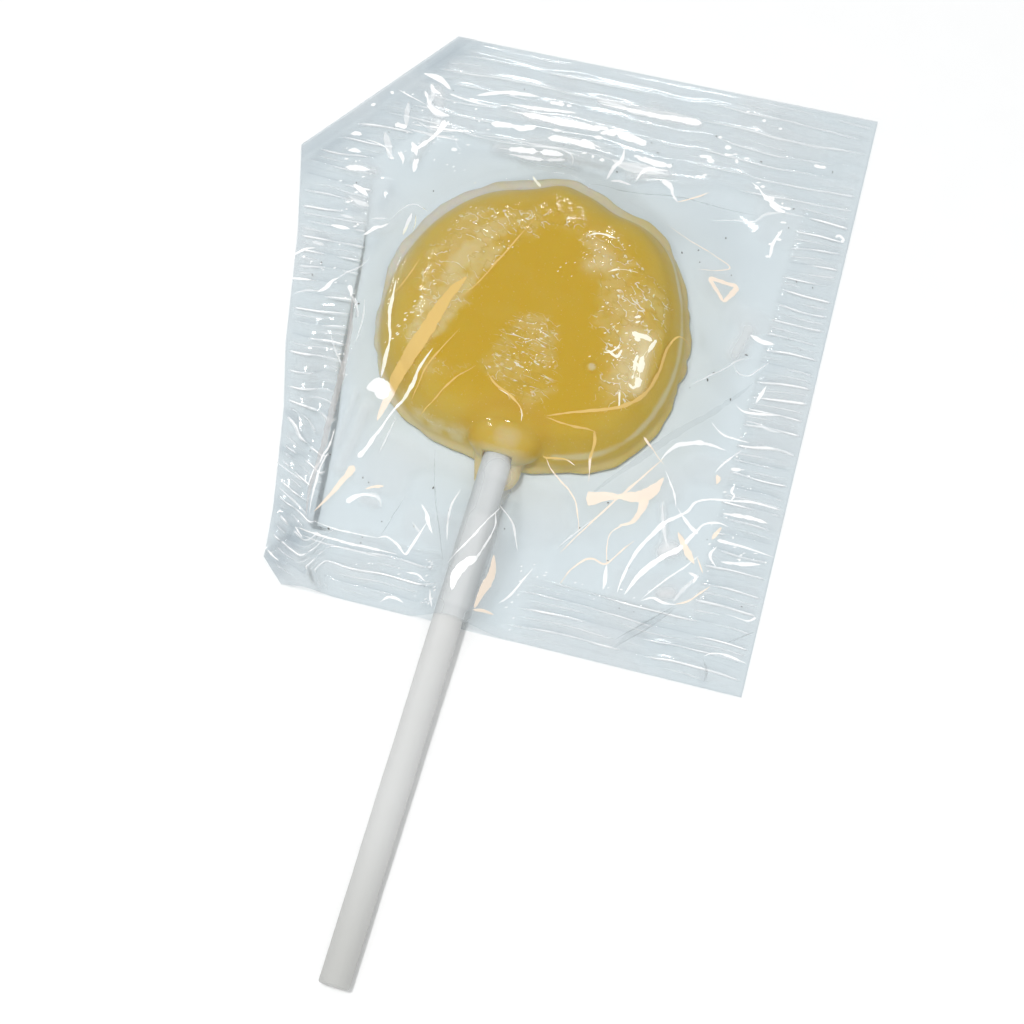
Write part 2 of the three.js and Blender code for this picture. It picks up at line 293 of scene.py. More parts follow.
@dataclass(frozen=True)
class StickLine:
    """Centre line of the stick, in millimetres over the plan."""

    radius: float = 2.0
    length: float = 87.0
    near: tuple[float, float, float] = (0.0, -6.0, 4.65)
    drift: float = -0.7

    @property
    def drop(self) -> float:
        """Slope of the stick down to the table, in radians."""
        return math.asin((self.near[2] - self.radius) / self.length)

    @property
    def far(self) -> tuple[float, float, float]:
        """Middle of the far end, whose lower edge touches the table."""
        x, y, _ = self.near
        aside = self.length * math.sin(math.radians(self.drift))
        return x + aside, y - self.length * math.cos(self.drop), self.radius * math.cos(self.drop)

    def height(self, y: Array) -> Array:
        """Height of the centre line at places along Y."""
        return self._on_line(2, y)

    def middle(self, y: Array) -> Array:
        """Place across of the centre line at places along Y."""
        return self._on_line(0, y)

    def _on_line(self, axis: int, y: Array) -> Array:
        """The centre line's place on one axis at places along Y."""
        near, far = self.near, self.far
        return near[axis] + (y - near[1]) * (near[axis] - far[axis]) / (near[1] - far[1])


# ---- Mesh helpers ------------------------------------------------------------------------------


def deselect_all() -> None:
    """Leaves nothing selected, in object mode."""
    if bpy.context.object is not None and bpy.context.object.mode != "OBJECT":
        bpy.ops.object.mode_set(mode="OBJECT")
    bpy.ops.object.select_all(action="DESELECT")


def make_active(piece: bpy.types.Object) -> None:
    """Selects one object alone and makes it the active one."""
    deselect_all()
    piece.select_set(True)
    bpy.context.view_layer.objects.active = piece


def named(name: str) -> bpy.types.Object:
    """The object just added, under its own name."""
    piece = bpy.context.object
    piece.name = name
    piece.data.name = name
    return piece


def vertices_of(piece: bpy.types.Object) -> Array:
    """Vertex places of a mesh object, one row each."""
    flat = np.empty(len(piece.data.vertices) * 3)
    piece.data.vertices.foreach_get("co", flat)
    return flat.reshape(-1, 3)


def move_vertices(piece: bpy.types.Object, places: Array) -> None:
    """Puts a mesh object's vertices at new places."""
    piece.data.vertices.foreach_set("co", np.ascontiguousarray(places, dtype=np.float32).ravel())
    piece.data.update()


def apply_modifier(piece: bpy.types.Object, kind: str, **settings: object) -> None:
    """Adds a modifier with settings to a piece and applies it.

    Args:
        piece: The mesh object to change.
        kind: The modifier's type.
        **settings: Its values.
    """
    make_active(piece)
    modifier = piece.modifiers.new(kind.title(), kind)
    for key, value in settings.items():
        setattr(modifier, key, value)
    bpy.ops.object.modifier_apply(modifier=modifier.name)


def apply_place(piece: bpy.types.Object) -> None:
    """Moves an object's place, turn and scale into its mesh."""
    make_active(piece)
    bpy.ops.object.transform_apply(location=True, rotation=True, scale=True)


def join(name: str, pieces: Sequence[bpy.types.Object]) -> bpy.types.Object:
    """Joins mesh objects into one under a new name."""
    make_active(pieces[0])
    for piece in pieces:
        piece.select_set(True)
    bpy.ops.object.join()
    return named(name)


def set_attribute(piece: bpy.types.Object, name: str, values: Array) -> None:
    """Stores a number at each vertex for a material to read."""
    attribute = piece.data.attributes.new(name, "FLOAT", "POINT")
    attribute.data.foreach_set("value", np.ascontiguousarray(values, dtype=np.float32))


def shade_smooth(piece: bpy.types.Object) -> None:
    """Shades all of a piece's faces smooth."""
    make_active(piece)
    bpy.ops.object.shade_smooth()


def finish_piece(
    piece: bpy.types.Object, material: bpy.types.Material, nodes: Sequence[str] = ()
) -> None:
    """Dresses a piece and ties it to the frame.

    Args:
        piece: The finished mesh object.
        material: Its finish.
        nodes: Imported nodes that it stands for.
    """
    piece.data.materials.clear()
    piece.data.materials.append(material)
    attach(piece, BODY)
    if nodes:
        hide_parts(*nodes)
    LOG.info("%s: %d faces", piece.name, len(piece.data.polygons))


# ---- Finishes ----------------------------------------------------------------------------------


class NodeBench:
    """Short way to lay out a material's nodes."""

    def __init__(self, name: str) -> None:
        """Starts an empty node material."""
        self.material = bpy.data.materials.new(name)
        self.material.use_nodes = True
        self.tree = self.material.node_tree
        self.tree.nodes.clear()

    def feed(self, socket: bpy.types.NodeSocket, value: object) -> None:
        """Links an input socket to another node's output, or gives it a value of its own."""
        if isinstance(value, bpy.types.NodeSocket):
            self.tree.links.new(value, socket)
        else:
            socket.default_value = value

    def add(self, kind: str, values: dict | None = None, **settings: object) -> bpy.types.Node:
        """Adds a node.

        Args:
            kind: The node's type.
            values: What its input sockets hold, or the sockets that feed them.
            **settings: The node's own properties.

        Returns:
            The new node.
        """
        node = self.tree.nodes.new(kind)
        for key, value in settings.items():
            setattr(node, key, value)
        for key, value in (values or {}).items():
            self.feed(node.inputs[key], value)
        return node

    def math(self, operation: str, first: object, second: object) -> bpy.types.NodeSocket:
        """Result of a two-value sum, with each value a number or a socket."""
        return self.add("ShaderNodeMath", {0: first, 1: second}, operation=operation).outputs[0]

    def times(self, *values: object) -> bpy.types.NodeSocket:
        """Product of numbers and sockets."""
        return functools.reduce(functools.partial(self.math, "MULTIPLY"), values)

    def plus(self, *values: object) -> bpy.types.NodeSocket:
        """Sum of numbers and sockets."""
        return functools.reduce(functools.partial(self.math, "ADD"), values)

    def ramp(self, source: bpy.types.NodeSocket, *stops: tuple) -> bpy.types.NodeSocket:
        """Colour read off a ramp of (place, colour) stops, where a grey is given by its level."""
        node = self.add("ShaderNodeValToRGB", {"Fac": source})
        elements = node.color_ramp.elements
        while len(elements) < len(stops):
            elements.new(0.5)
        for element, (place, colour) in zip(elements, stops):
            element.position = place
            element.color = (*(colour if isinstance(colour, tuple) else (colour,) * 3), 1.0)
        return node.outputs["Color"]

    def mix(self, share: object, first: object, second: object) -> bpy.types.NodeSocket:
        """Colour that lies a share of the way between two."""
        node = self.add("ShaderNodeMix", data_type="RGBA")
        self.feed(node.inputs[0], share)
        for socket, colour in zip((node.inputs[6], node.inputs[7]), (first, second)):
            self.feed(socket, (*colour, 1.0) if isinstance(colour, tuple) else colour)
        return node.outputs[2]

    def noise(
        self, size: float, detail: float = 2.0, stretch: tuple = (1.0, 1.0, 1.0), turn: float = 0.0
    ) -> bpy.types.NodeSocket:
        """Noise in the object's own space.

        Args:
            size: How far apart its features are, in millimetres.
            detail: How many finer octaves it has.
            stretch: How much longer the features are along each axis.
            turn: How far the axes are turned in plan, in degrees.

        Returns:
            The socket that gives the noise.
        """
        place = self.add("ShaderNodeTexCoord").outputs["Object"]
        scale = tuple(size * MM * factor for factor in stretch)
        turned = {"Vector": place, "Scale": scale, "Rotation": (0.0, 0.0, math.radians(turn))}
        mapped = self.add("ShaderNodeMapping", turned, vector_type="TEXTURE")
        values = {"Vector": mapped.outputs[0], "Scale": 1.0, "Detail": detail}
        return self.add("ShaderNodeTexNoise", values).outputs[0]

    def attribute(self, name: str) -> bpy.types.NodeSocket:
        """Number that the mesh holds at each vertex."""
        return self.add("ShaderNodeAttribute", attribute_name=name).outputs["Fac"]

    def bump(self, height: bpy.types.NodeSocket, depth: float) -> bpy.types.NodeSocket:
        """Normal bent by a height, with its depth in millimetres."""
        values = {"Height": height, "Strength": 1.0, "Distance": depth * MM}
        return self.add("ShaderNodeBump", values).outputs[0]

    def layer(self, share: object, under: object, over: object) -> bpy.types.NodeSocket:
        """Surface that is a share of the one over another."""
        return self.add("ShaderNodeMixShader", {0: share, 1: under, 2: over}).outputs[0]

    def veil(self, cover: object, tint: object, colour: object) -> bpy.types.NodeSocket:
        """See-through surface of a tint with a matt colour that covers some of it."""
        through = self.add("ShaderNodeBsdfTransparent", {"Color": tint}).outputs[0]
        matt = self.add("ShaderNodeBsdfDiffuse", {"Color": colour}).outputs[0]
        return self.layer(cover, through, matt)

    def finish(self, surface: bpy.types.NodeSocket) -> bpy.types.Material:
        """Closes the tree with its surface and returns the material."""
        self.add("ShaderNodeOutputMaterial", {"Surface": surface})
        return self.material


@dataclass(frozen=True)
class HoneyFinish:
    """Cloudy amber honey sugar: deep in the middle, pale at the lip, milky where it is wrinkled, with
    painted glints and painted shade on the wrinkles and painted shade round the lump's foot.
    """

    deep: tuple = (0.672, 0.446, 0.046)
    amber: tuple = (0.69, 0.485, 0.108)
    pale: tuple = (0.73, 0.605, 0.35)
    clear_edge: tuple = (0.72, 0.66, 0.56)
    # Painted shade round the foot of the lump where the stick goes in.
    boss_foot_shade: tuple = (0.66, 0.42, 0.06)
    milky: tuple = (0.78, 0.65, 0.345)
    # Painted glints on the wrinkles' crests, and painted shade in their hollows.
    glint: tuple = (1.0, 0.99, 0.93)
    hollow_shade: tuple = (0.56, 0.37, 0.05)
    glint_line: float = 0.02
    hollow_shade_depth: float = 0.7
    drift: float = 0.45
    scatter: float = 0.5
    scatter_radius: tuple = (2.6 * MM, 1.5 * MM, 0.4 * MM)
    roughness: float = 0.42
    shine: float = 0.12
    coat: float = 0.06
    coat_roughness: float = 0.15
    grit: float = 0.05

    def make(self) -> bpy.types.Material:
        """Builds the material."""
        bench = NodeBench("honey_sugar")
        drift = bench.times(bench.math("SUBTRACT", bench.noise(6.0, 3.0), 0.5), self.drift)
        thin = bench.plus(bench.attribute("thin"), drift)
        colours = (0.0, self.deep), (0.35, self.amber), (0.8, self.pale), (1.0, self.clear_edge)
        body = bench.mix(bench.attribute("boss_foot_shade"), bench.ramp(thin, *colours), self.boss_foot_shade)
        colour = bench.mix(self._islands(bench), body, self.milky)
        # Painted shade in the wrinkles' hollows, then painted glints on their crests and painted
        # sparkle.
        hollow_shades, glints = self._wrinkle_lines(bench)
        colour = bench.mix(hollow_shades, colour, self.hollow_shade)
        colour = bench.mix(glints, colour, self.glint)
        surface = bench.add("ShaderNodeBsdfPrincipled", {
            "Base Color": colour,
            "Roughness": self.roughness,
            "Specular IOR Level": self.shine,
            "Subsurface Weight": self.scatter,
            "Subsurface Radius": self.scatter_radius,
            "Subsurface Scale": 1.0,
            "Coat Weight": self.coat,
            "Coat Roughness": self.coat_roughness,
            "Normal": bench.bump(bench.noise(0.6, 3.0), self.grit),
        })
        return bench.finish(surface.outputs[0])

    def _islands(self, bench: NodeBench) -> bpy.types.NodeSocket:
        """How milky each place is: islands with sharp edges, and thin milk between them."""
        milky = bench.attribute("milky")
        ragged = bench.plus(bench.noise(2.9, 2.0, (1.3, 1.0, 1.0), 35.0), bench.times(milky, 0.3))
        islands = bench.ramp(ragged, (0.58, 0.18), (0.66, 0.6), (0.8, 0.85), (1.0, 1.0))
        return bench.times(milky, islands)

    def _wrinkle_lines(self, bench: NodeBench) -> tuple[bpy.types.NodeSocket, bpy.types.NodeSocket]:
        """Fine wrinkles in the honey's skin.

        Args:
            bench: Where the nodes are laid out.

        Returns:
            How dark the painted shade in the hollows is, and how bright the painted glints on the
            crests and the painted sparkle are, from 0 to 1.
        """
        curls = bench.noise(2.1, 2.0, (1.25, 0.8, 1.0), -28.0)
        scratches = bench.noise(1.6, 1.5, (3.2, 0.55, 1.0), -8.0)
        breaks = bench.ramp(bench.noise(1.0, 1.0), (0.44, 0.0), (0.54, 1.0))
        middle, width = 0.5, self.glint_line
        below, above, far_above = middle - width, middle + width, middle + 3.5 * width
        hollow_shades, crests = [], []
        for lines, name in ((curls, "wrinkled"), (scratches, "scratched")):
            where = bench.attribute(name)
            crest = bench.ramp(lines, (below, 0.0), (middle, 1.0), (above, 0.0))
            hollow_shade = bench.ramp(lines, (middle, 0.0), (above, 0.8), (far_above, 0.0))
            crests.append(bench.times(crest, breaks, where))
            hollow_shades.append(bench.times(hollow_shade, where))
        # Painted sparkle: tiny bright flecks.
        sparkle = bench.ramp(bench.noise(0.3, 1.0), (0.70, 0.0), (0.74, 1.0))
        sparkle = bench.times(sparkle, bench.attribute("sparkling"))
        glints = bench.math("MAXIMUM", bench.math("MAXIMUM", *crests), sparkle)
        return bench.times(bench.math("MAXIMUM", *hollow_shades), self.hollow_shade_depth), glints


@dataclass(frozen=True)
class StickFinish:
    """Plain white satin stick with a faint lengthwise grain, and painted shade that darkens it towards
    its far end.
    """

    white: tuple = (0.67, 0.675, 0.665)
    shade: tuple = (0.62, 0.62, 0.605)
    # Painted shade towards the stick's far end.
    end_shade: tuple = (0.53, 0.53, 0.51)
    roughness: float = 0.48
    scatter: float = 0.15
    scatter_radius: tuple = (0.6 * MM,) * 3
    grain: float = 0.015

    def make(self) -> bpy.types.Material:
        """Builds the material."""
        bench = NodeBench("white_stick")
        grain = bench.noise(0.35, 2.0, (1.0, 30.0, 1.0))
        colour = bench.mix(bench.times(bench.noise(5.0, 3.0), 0.5), self.white, self.shade)
        surface = bench.add("ShaderNodeBsdfPrincipled", {
            "Base Color": bench.mix(bench.attribute("far_end_shade"), colour, self.end_shade),
            "Roughness": self.roughness,
            "Subsurface Weight": self.scatter,
            "Subsurface Radius": self.scatter_radius,
            "Subsurface Scale": 1.0,
            "Normal": bench.bump(grain, self.grain),
        })
        return bench.finish(surface.outputs[0])


@dataclass(frozen=True)
class FilmFinish:
    """Clear thin film: glossy and greyer where it stands on edge, with painted shade in the crimps'
    grooves and painted highlights on their crests, and white with haze and painted sheen.
    """

    clear: tuple = (0.905, 0.929, 0.940)
    edge_on: tuple = (0.80, 0.83, 0.85)
    # White of the haze and of the painted sheen.
    haze_and_sheen: tuple = (0.97, 0.98, 0.985)
    honey_haze: tuple = (1.0, 0.9, 0.58)
    roughness: float = 0.07
    gloss: float = 1.3
    edge_blend: float = 0.35
    edge_shade: float = 0.1
    crinkle: float = 0.012
    crimp: float = 5.0
    crumple: float = 30.0
    # Strengths of the painted shade in the crimps' grooves and of the painted highlights on their
    # crests.
    groove_shade: float = 1.15
    crest: float = 0.95
    milk: float = 0.12

    def make(self, name: str, crinkle: float) -> bpy.types.Material:
        """Builds the material.

        Args:
            name: Its name.
            crinkle: Depth of the fine crinkles, in millimetres, or zero for a film without any.

        Returns:
            The material.
        """
        bench = NodeBench(name)
        shade, cover, normal = bench.attribute("shade"), bench.attribute("haze_and_sheen"), {}
        if crinkle:
            dark, light, wave, streaks = self._crimps(bench)
            crumple = bench.plus(bench.times(bench.attribute("crumple"), self.crumple), 1.0)
            relief = bench.times(bench.noise(1.5, 2.0, (1.5, 0.95, 1.0)), crumple)
            relief = bench.plus(relief, bench.times(wave, self.crimp))
            normal = {"Normal": bench.bump(relief, crinkle)}
            # Painted shade in the crimps' grooves, and painted highlights on their crests and in the
            # streaks.
            shade = bench.plus(shade, bench.times(dark, self.groove_shade))
            cover = bench.plus(cover, bench.times(light, self.crest), bench.times(streaks, self.milk))
        edge = bench.add("ShaderNodeLayerWeight", {"Blend": self.edge_blend, **normal})
        shade = bench.plus(shade, bench.times(edge.outputs["Facing"], self.edge_shade))
        tint = bench.mix(shade, self.clear, self.edge_on)
        mist = bench.mix(bench.attribute("over_honey"), self.haze_and_sheen, self.honey_haze)
        gloss = bench.add("ShaderNodeBsdfGlossy", {"Roughness": self.roughness, **normal}).outputs[0]
        fresnel = bench.add("ShaderNodeFresnel", {"IOR": self.gloss, **normal}).outputs[0]
        fresnel = bench.times(fresnel, bench.attribute("open"))
        return bench.finish(bench.layer(fresnel, bench.veil(cover, tint, mist), gloss))

    def _crimps(self, bench: NodeBench) -> tuple[bpy.types.NodeSocket, ...]:
        """Thin lines of the crimped ridges: painted shade in the grooves and painted highlights on the
        crests.

        Args:
            bench: Where the nodes are laid out.

        Returns:
            How dark the painted shade, how light the painted highlight, and how high and how streaky
            each place is, from 0 to 1.
        """
        sealed, crisp = bench.attribute("sealed"), bench.attribute("crisp")
        ridge = bench.math("DIVIDE", bench.attribute("across"), RIDGE_PITCH)
        ridge = bench.math("FRACT", ridge, 0.0)
        dark = bench.ramp(
            ridge, (0.0, 0.0), (0.04, 1.0), (0.13, 0.28), (0.32, 0.1), (0.5, 0.0), (0.55, 0.35),
            (0.63, 0.0),
        )
        light = bench.ramp(
            ridge, (0.0, 0.35), (0.03, 0.0), (0.44, 0.0), (0.49, 0.35), (0.54, 0.0), (0.86, 0.0),
            (0.96, 1.0),
        )
        wave = bench.ramp(ridge, (0.0, 0.35), (0.1, 0.0), (0.5, 0.35), (0.95, 1.0), (1.0, 0.35))
        breaks = bench.ramp(bench.noise(1.6, 1.0, (6.0, 1.3, 1.0)), (0.34, 0.3), (0.56, 1.0))
        gaps = bench.ramp(bench.noise(1.5, 1.0, (5.0, 1.0, 1.0)), (0.38, 0.0), (0.62, 1.0))
        dark, light = bench.times(dark, breaks, crisp), bench.times(light, gaps, crisp)
        return dark, light, bench.times(wave, sealed), bench.times(gaps, sealed)


@dataclass(frozen=True)
class MarkFinish:
    """A fold in the film: its colour over the clear film and over the honey, and its cover."""

    colour: tuple
    over_honey: tuple
    cover: float
    clear: tuple = (0.97, 0.98, 0.985)

    def make(self, name: str) -> bpy.types.Material:
        """Builds the material."""
        bench = NodeBench(name)
        colour = bench.mix(bench.attribute("honey"), self.colour, self.over_honey)
        return bench.finish(bench.veil(self.cover, (*self.clear, 1.0), colour))


def plain_finish(name: str, colour: tuple, roughness: float) -> bpy.types.Material:
    """A plain surface with a faint mottle, for dust and the table."""
    bench = NodeBench(name)
    darker = tuple(channel * 0.97 for channel in colour)
    surface = bench.add("ShaderNodeBsdfPrincipled", {
        "Base Color": bench.mix(bench.noise(9.0, 2.0), colour, darker),
        "Roughness": roughness,
        "Specular IOR Level": 0.2,
    })
    return bench.finish(surface.outputs[0])


# ---- Candy -------------------------------------------------------------------------------------


@dataclass(frozen=True)
class Cloud:
    """A milky patch on the candy, by how milky and how wrinkled it is and its outline in plan."""

    milky: float
    wrinkled: float
    corners: tuple[Point, ...]

    def inside(self, x: Array, y: Array) -> Array:
        """Distance inward from the outline, below zero outside it."""
        nearest = np.full(x.shape, 1e3)
        within = np.zeros(x.shape, dtype=bool)
        corners = self.corners
        for start, end in zip(corners, corners[1:] + corners[:1]):
            nearest = np.minimum(nearest, along_segment(x, y, start, end)[0])
            crosses = (start[1] > y) != (end[1] > y)
            rise = (end[1] - start[1]) or 1e-9
            within ^= crosses & (x < start[0] + (y - start[1]) * (end[0] - start[0]) / rise)
        return np.where(within, nearest, -nearest)


@dataclass
class HoneyCandy:
    """The honey disc with its mould lip, the lump round the stick and the collar below it."""

    outline: CandyOutline
    boss: Boss
    stick: StickLine
    plan: Plan
    finish: HoneyFinish = field(default_factory=HoneyFinish)

    # Section of the underside and the lip, from the middle outward: inset from the outline, height.
    lip_section: tuple = (
        (22.4, 0.14), (11.0, 0.14), (1.2, 0.14), (0.25, 0.35), (0.0, 0.8), (0.1, 1.2), (0.35, 1.5),
        (0.65, 1.65),
    )
    lip_top: float = 1.6
    underside: float = 0.14
    wide_lip_bearing: float = 112.0
    wide_lip_extra: float = 1.5
    wide_lip_half: float = 62.0
    lip_ripple: float = 0.3
    notches: tuple[Dent, ...] = (
        Dent(2.0, 0.5, 1.8), Dent(-8.0, 0.55, 1.8), Dent(24.0, 0.35, 1.8), Dent(205.0, 0.3, 1.8),
    )
    around: int = 224
    rings: int = 96
    voxel: float = 0.25

    collar_from: float = -18.5
    collar_to: float = -24.2
    collar_radii: tuple = (3.95, 2.4)
    collar_flatness: float = 0.6
    collar_sag: float = 2.2
    mouth: float = -20.9
    mouth_reach: float = 6.0
    drip_place: tuple = (2.0, -21.8, 2.4)
    drip_radii: tuple = (1.25, 2.4, 1.5)
    bore_play: float = 0.02

    clouds: tuple = (
        Cloud(0.42, 0.8, (
            (-16.6, -1.0), (-16.6, 4.0), (-14.5, 9.0), (-12.0, 12.2), (-8.0, 12.6), (-4.0, 14.6),
            (0.5, 14.6), (2.2, 12.0), (-0.6, 11.0), (-2.5, 10.4), (-5.6, 6.9), (-8.2, 3.0),
            (-10.4, 2.0),
        )),
        Cloud(0.86, 0.45, (
            (-17.0, -8.6), (-15.6, -2.0), (-14.6, 3.4), (-12.0, 7.6), (-9.6, 11.0), (-7.0, 10.6),
            (-6.0, 8.0), (-7.4, 4.6), (-9.2, 1.2), (-10.2, -3.5), (-11.6, -8.2), (-14.4, -13.2),
            (-16.6, -12.6),
        )),
        Cloud(0.48, 1.0, (
            (3.0, 10.8), (6.5, 12.2), (9.8, 11.6), (11.0, 8.6), (14.6, 7.6), (16.6, 4.6),
            (17.0, 0.0), (16.2, -7.5), (14.0, -10.2), (12.0, -12.4), (10.0, -10.3), (10.4, -7.0),
            (8.4, -2.0), (7.6, 1.6), (5.4, 5.0), (4.2, 8.3),
        )),
        Cloud(0.8, 0.9, (
            (11.6, 2.4), (14.6, 1.8), (16.2, -1.2), (16.0, -5.0), (15.2, -7.4), (13.2, -8.2),
            (11.4, -6.0), (11.2, -2.0),
        )),
        Cloud(0.42, 0.8, (
            (-4.4, -7.0), (-3.0, -2.2), (0.5, -1.0), (3.0, -3.0), (3.4, -6.5), (4.6, -9.5),
            (3.8, -13.8), (1.8, -14.6), (-1.4, -13.4), (-4.6, -10.6),
        )),
        Cloud(0.5, 0.3, (
            (-13.0, -11.7), (-10.5, -10.6), (-8.0, -11.2), (-8.8, -13.4), (-11.0, -14.0),
        )),
        # Painted highlight: this pale band along the lower left bevel stands for the sheen on the step.
        Cloud(0.95, 0.4, (
            (-14.9, -15.2), (-12.8, -16.6), (-9.4, -18.0), (-5.6, -18.7), (-5.6, -19.7),
            (-9.4, -19.3), (-12.9, -17.9), (-15.3, -15.8),
        )),
        Cloud(0.6, 0.3, (
            (6.2, -19.4), (10.1, -18.9), (13.6, -17.4), (17.0, -14.8), (19.5, -11.0), (20.2, -7.4),
            (20.8, -7.9), (20.0, -11.6), (17.3, -15.6), (12.1, -19.0), (7.4, -20.0),
        )),
    )
    scratches: Cloud = Cloud(0.0, 1.0, (
        (-4.4, -6.0), (-3.0, -2.2), (0.5, -1.4), (2.6, -3.0), (3.4, -6.5), (4.4, -9.5),
        (3.0, -12.6), (-0.6, -12.4), (-4.0, -9.6),
    ))
    pale_bearing: float = 150.0
    # Inset of the painted highlight along the rim's crease.
    rim_highlight_inset: float = 1.5
    bubble: tuple = (8.8, -6.7, 0.6)
    stick_glow: tuple = (0.5, -19.0, 2.4, 2.0)

    def build(self) -> bpy.types.Object:
        """Models the candy and dresses it.

        Returns:
            The finished piece.
        """
        lumps = [
            self._disc(),
            self._egg("candy_boss", self.boss.place, self.boss.radii, 64, 32),
            self._collar(),
            self._egg("candy_drip", self.drip_place, self.drip_radii, 32, 20),
        ]
        piece = join("honey_candy", lumps)
        apply_modifier(piece, "REMESH", mode="VOXEL", voxel_size=self.voxel * MM)
        apply_modifier(piece, "SMOOTH", factor=0.5, iterations=7)
        self._bore(piece)
        self._wrinkle(piece)
        self._mark(piece)
        shade_smooth(piece)
        finish_piece(piece, self.finish.make(), ["candy"])
        return piece

    def _disc(self) -> bpy.types.Object:
        """Turns a sphere's rings into the candy's section and its round into the lobed outline."""
        deselect_all()
        bpy.ops.mesh.primitive_uv_sphere_add(segments=self.around, ring_count=self.rings, radius=1.0)
        disc = named("candy_disc")
        points = vertices_of(disc)
        steep = np.linspace(self.outline.lip[0], 5.0, 18)
        insets = np.concatenate([steep, np.linspace(5.4, self.outline.radius, 18)])
        rise = np.column_stack([insets, self.outline.shoulder(insets)])
        section = np.vstack([np.array(self.lip_section), rise])
        steps = np.hypot(*np.diff(section, axis=0).T)
        passed = np.concatenate([[0.0], np.cumsum(steps)]) / steps.sum()
        share = np.arccos(np.clip(-points[:, 2], -1.0, 1.0)) / math.pi
        inset = np.interp(share, passed, section[:, 0])
        height = np.interp(share, passed, section[:, 1])
        bearing = np.arctan2(points[:, 1], points[:, 0])
        on_lip = (height < self.lip_top) * (inset < 1.0)
        reach = self.outline.reach(bearing) + self._lip_edge(bearing) * on_lip
        body = smoothstep(height, self.lip_top - 0.3, self.lip_top + 0.6)
        reach = reach - self._wide_lip(bearing) * body
        radius = reach * (1.0 - inset / self.outline.radius)
        x, y = radius * np.cos(bearing), radius * np.sin(bearing)
        top = smoothstep(height, 3.0, 6.5) * self.outline.swell(x, y)
        move_vertices(disc, self.plan.place(np.column_stack([x, y, height + top])))
        return disc

    def _wide_lip(self, bearing: Array) -> Array:
        """Extra width of the mould lip towards the candy's upper left."""
        aside = degrees_apart(bearing, self.wide_lip_bearing)
        return self.wide_lip_extra * np.exp(-((aside / self.wide_lip_half) ** 4))

    def _lip_edge(self, bearing: Array) -> Array:
        """Uneven edge of the mould lip, with a few small notches."""
        edge = self.lip_ripple * (0.5 * np.sin(7 * bearing) + 0.5 * np.sin(13 * bearing + 1.0))
        edge = edge + 0.12 * np.sin(31 * bearing + 2.0) * np.sin(5 * bearing)
        for notch in self.notches:
            edge = edge - notch.at(bearing)
        return edge

    def _egg(
        self, name: str, place: tuple, radii: tuple, segments: int, rings: int
    ) -> bpy.types.Object:
        """A lump of honey.

        Args:
            name: The object's name.
            place: Its middle, in millimetres over the plan.
            radii: Its radii in millimetres.
            segments: Faces round it.
            rings: Faces from its lowest point to its highest.

        Returns:
            The mesh object.
        """
        deselect_all()
        bpy.ops.mesh.primitive_uv_sphere_add(
            segments=segments,
            ring_count=rings,
            radius=1.0,
            location=self.plan.vector(*place),
            scale=tuple(radius * MM for radius in radii),
        )
        egg = named(name)
        apply_place(egg)
        return egg

    def _collar(self) -> bpy.types.Object:
        """The thin sleeve of honey that runs down the stick's sides."""
        deselect_all()
        middle = (self.collar_from + self.collar_to) / 2.0
        height = float(self.stick.height(middle)) - self.collar_sag
        bpy.ops.mesh.primitive_cone_add(
            vertices=64,
            radius1=self.collar_radii[0] * MM,
            radius2=self.collar_radii[1] * MM,
            depth=(self.collar_from - self.collar_to) * MM,
            location=self.plan.vector(float(self.stick.middle(middle)), middle, height),
            rotation=(math.radians(90.0) + self.stick.drop, 0.0, 0.0),
            scale=(1.0, self.collar_flatness, 1.0),
        )
        collar = named("candy_collar")
        apply_place(collar)
        return collar

    def _bore(self, piece: bpy.types.Object) -> None:
        """Cuts the hole that the stick sits in, and the straight mouth where the stick comes out."""
        radius = self.stick.radius + self.bore_play
        middle = self.mouth - self.mouth_reach / 2.0
        height = float(self.stick.height(middle)) + self.mouth_reach / 2.0
        deselect_all()
        bpy.ops.mesh.primitive_cube_add(
            size=1.0,
            location=self.plan.vector(float(self.stick.middle(middle)), middle, height),
            rotation=(self.stick.drop, 0.0, 0.0),
            scale=(2.0 * radius * MM, self.mouth_reach * MM, self.mouth_reach * MM),
        )
        notch = named("mouth_cutter")
        apply_place(notch)
        for cutter in (notch, rod("bore_cutter", self.stick, self.plan, radius, 48)):
            apply_modifier(piece, "BOOLEAN", operation="DIFFERENCE", solver="EXACT", object=cutter)
            bpy.data.objects.remove(cutter, do_unlink=True)

    def crumpled(self, x: Array, y: Array) -> Array:
        """How much the film over the candy is crumpled, from 0 to 1, at places in the plan."""
        on_candy = falling(self.outline.beyond(x, y), -3.0, 0.5)
        return on_candy * (0.4 + 0.6 * self.cloudiness(x, y)[1])

    def cloudiness(self, x: Array, y: Array) -> tuple[Array, Array]:
        """How milky and how wrinkled the top is, from 0 to 1, at places in the plan."""
        ragged = Grain(11)
        tilted, aside = 0.8 * x + 0.6 * y, 0.8 * y - 0.6 * x
        edge = 0.8 * ragged(tilted / 2.8, aside / 2.4) + 0.4 * ragged(aside / 1.2 + 7.0, tilted / 1.3)
        milky, wrinkled = np.zeros_like(x), np.zeros_like(x)
        for cloud in self.clouds:
            inside = smoothstep(cloud.inside(x, y) + edge, -0.9, 0.9)
            milky = np.maximum(milky, cloud.milky * inside)
            wrinkled = np.maximum(wrinkled, cloud.wrinkled * inside)
        return milky, wrinkled

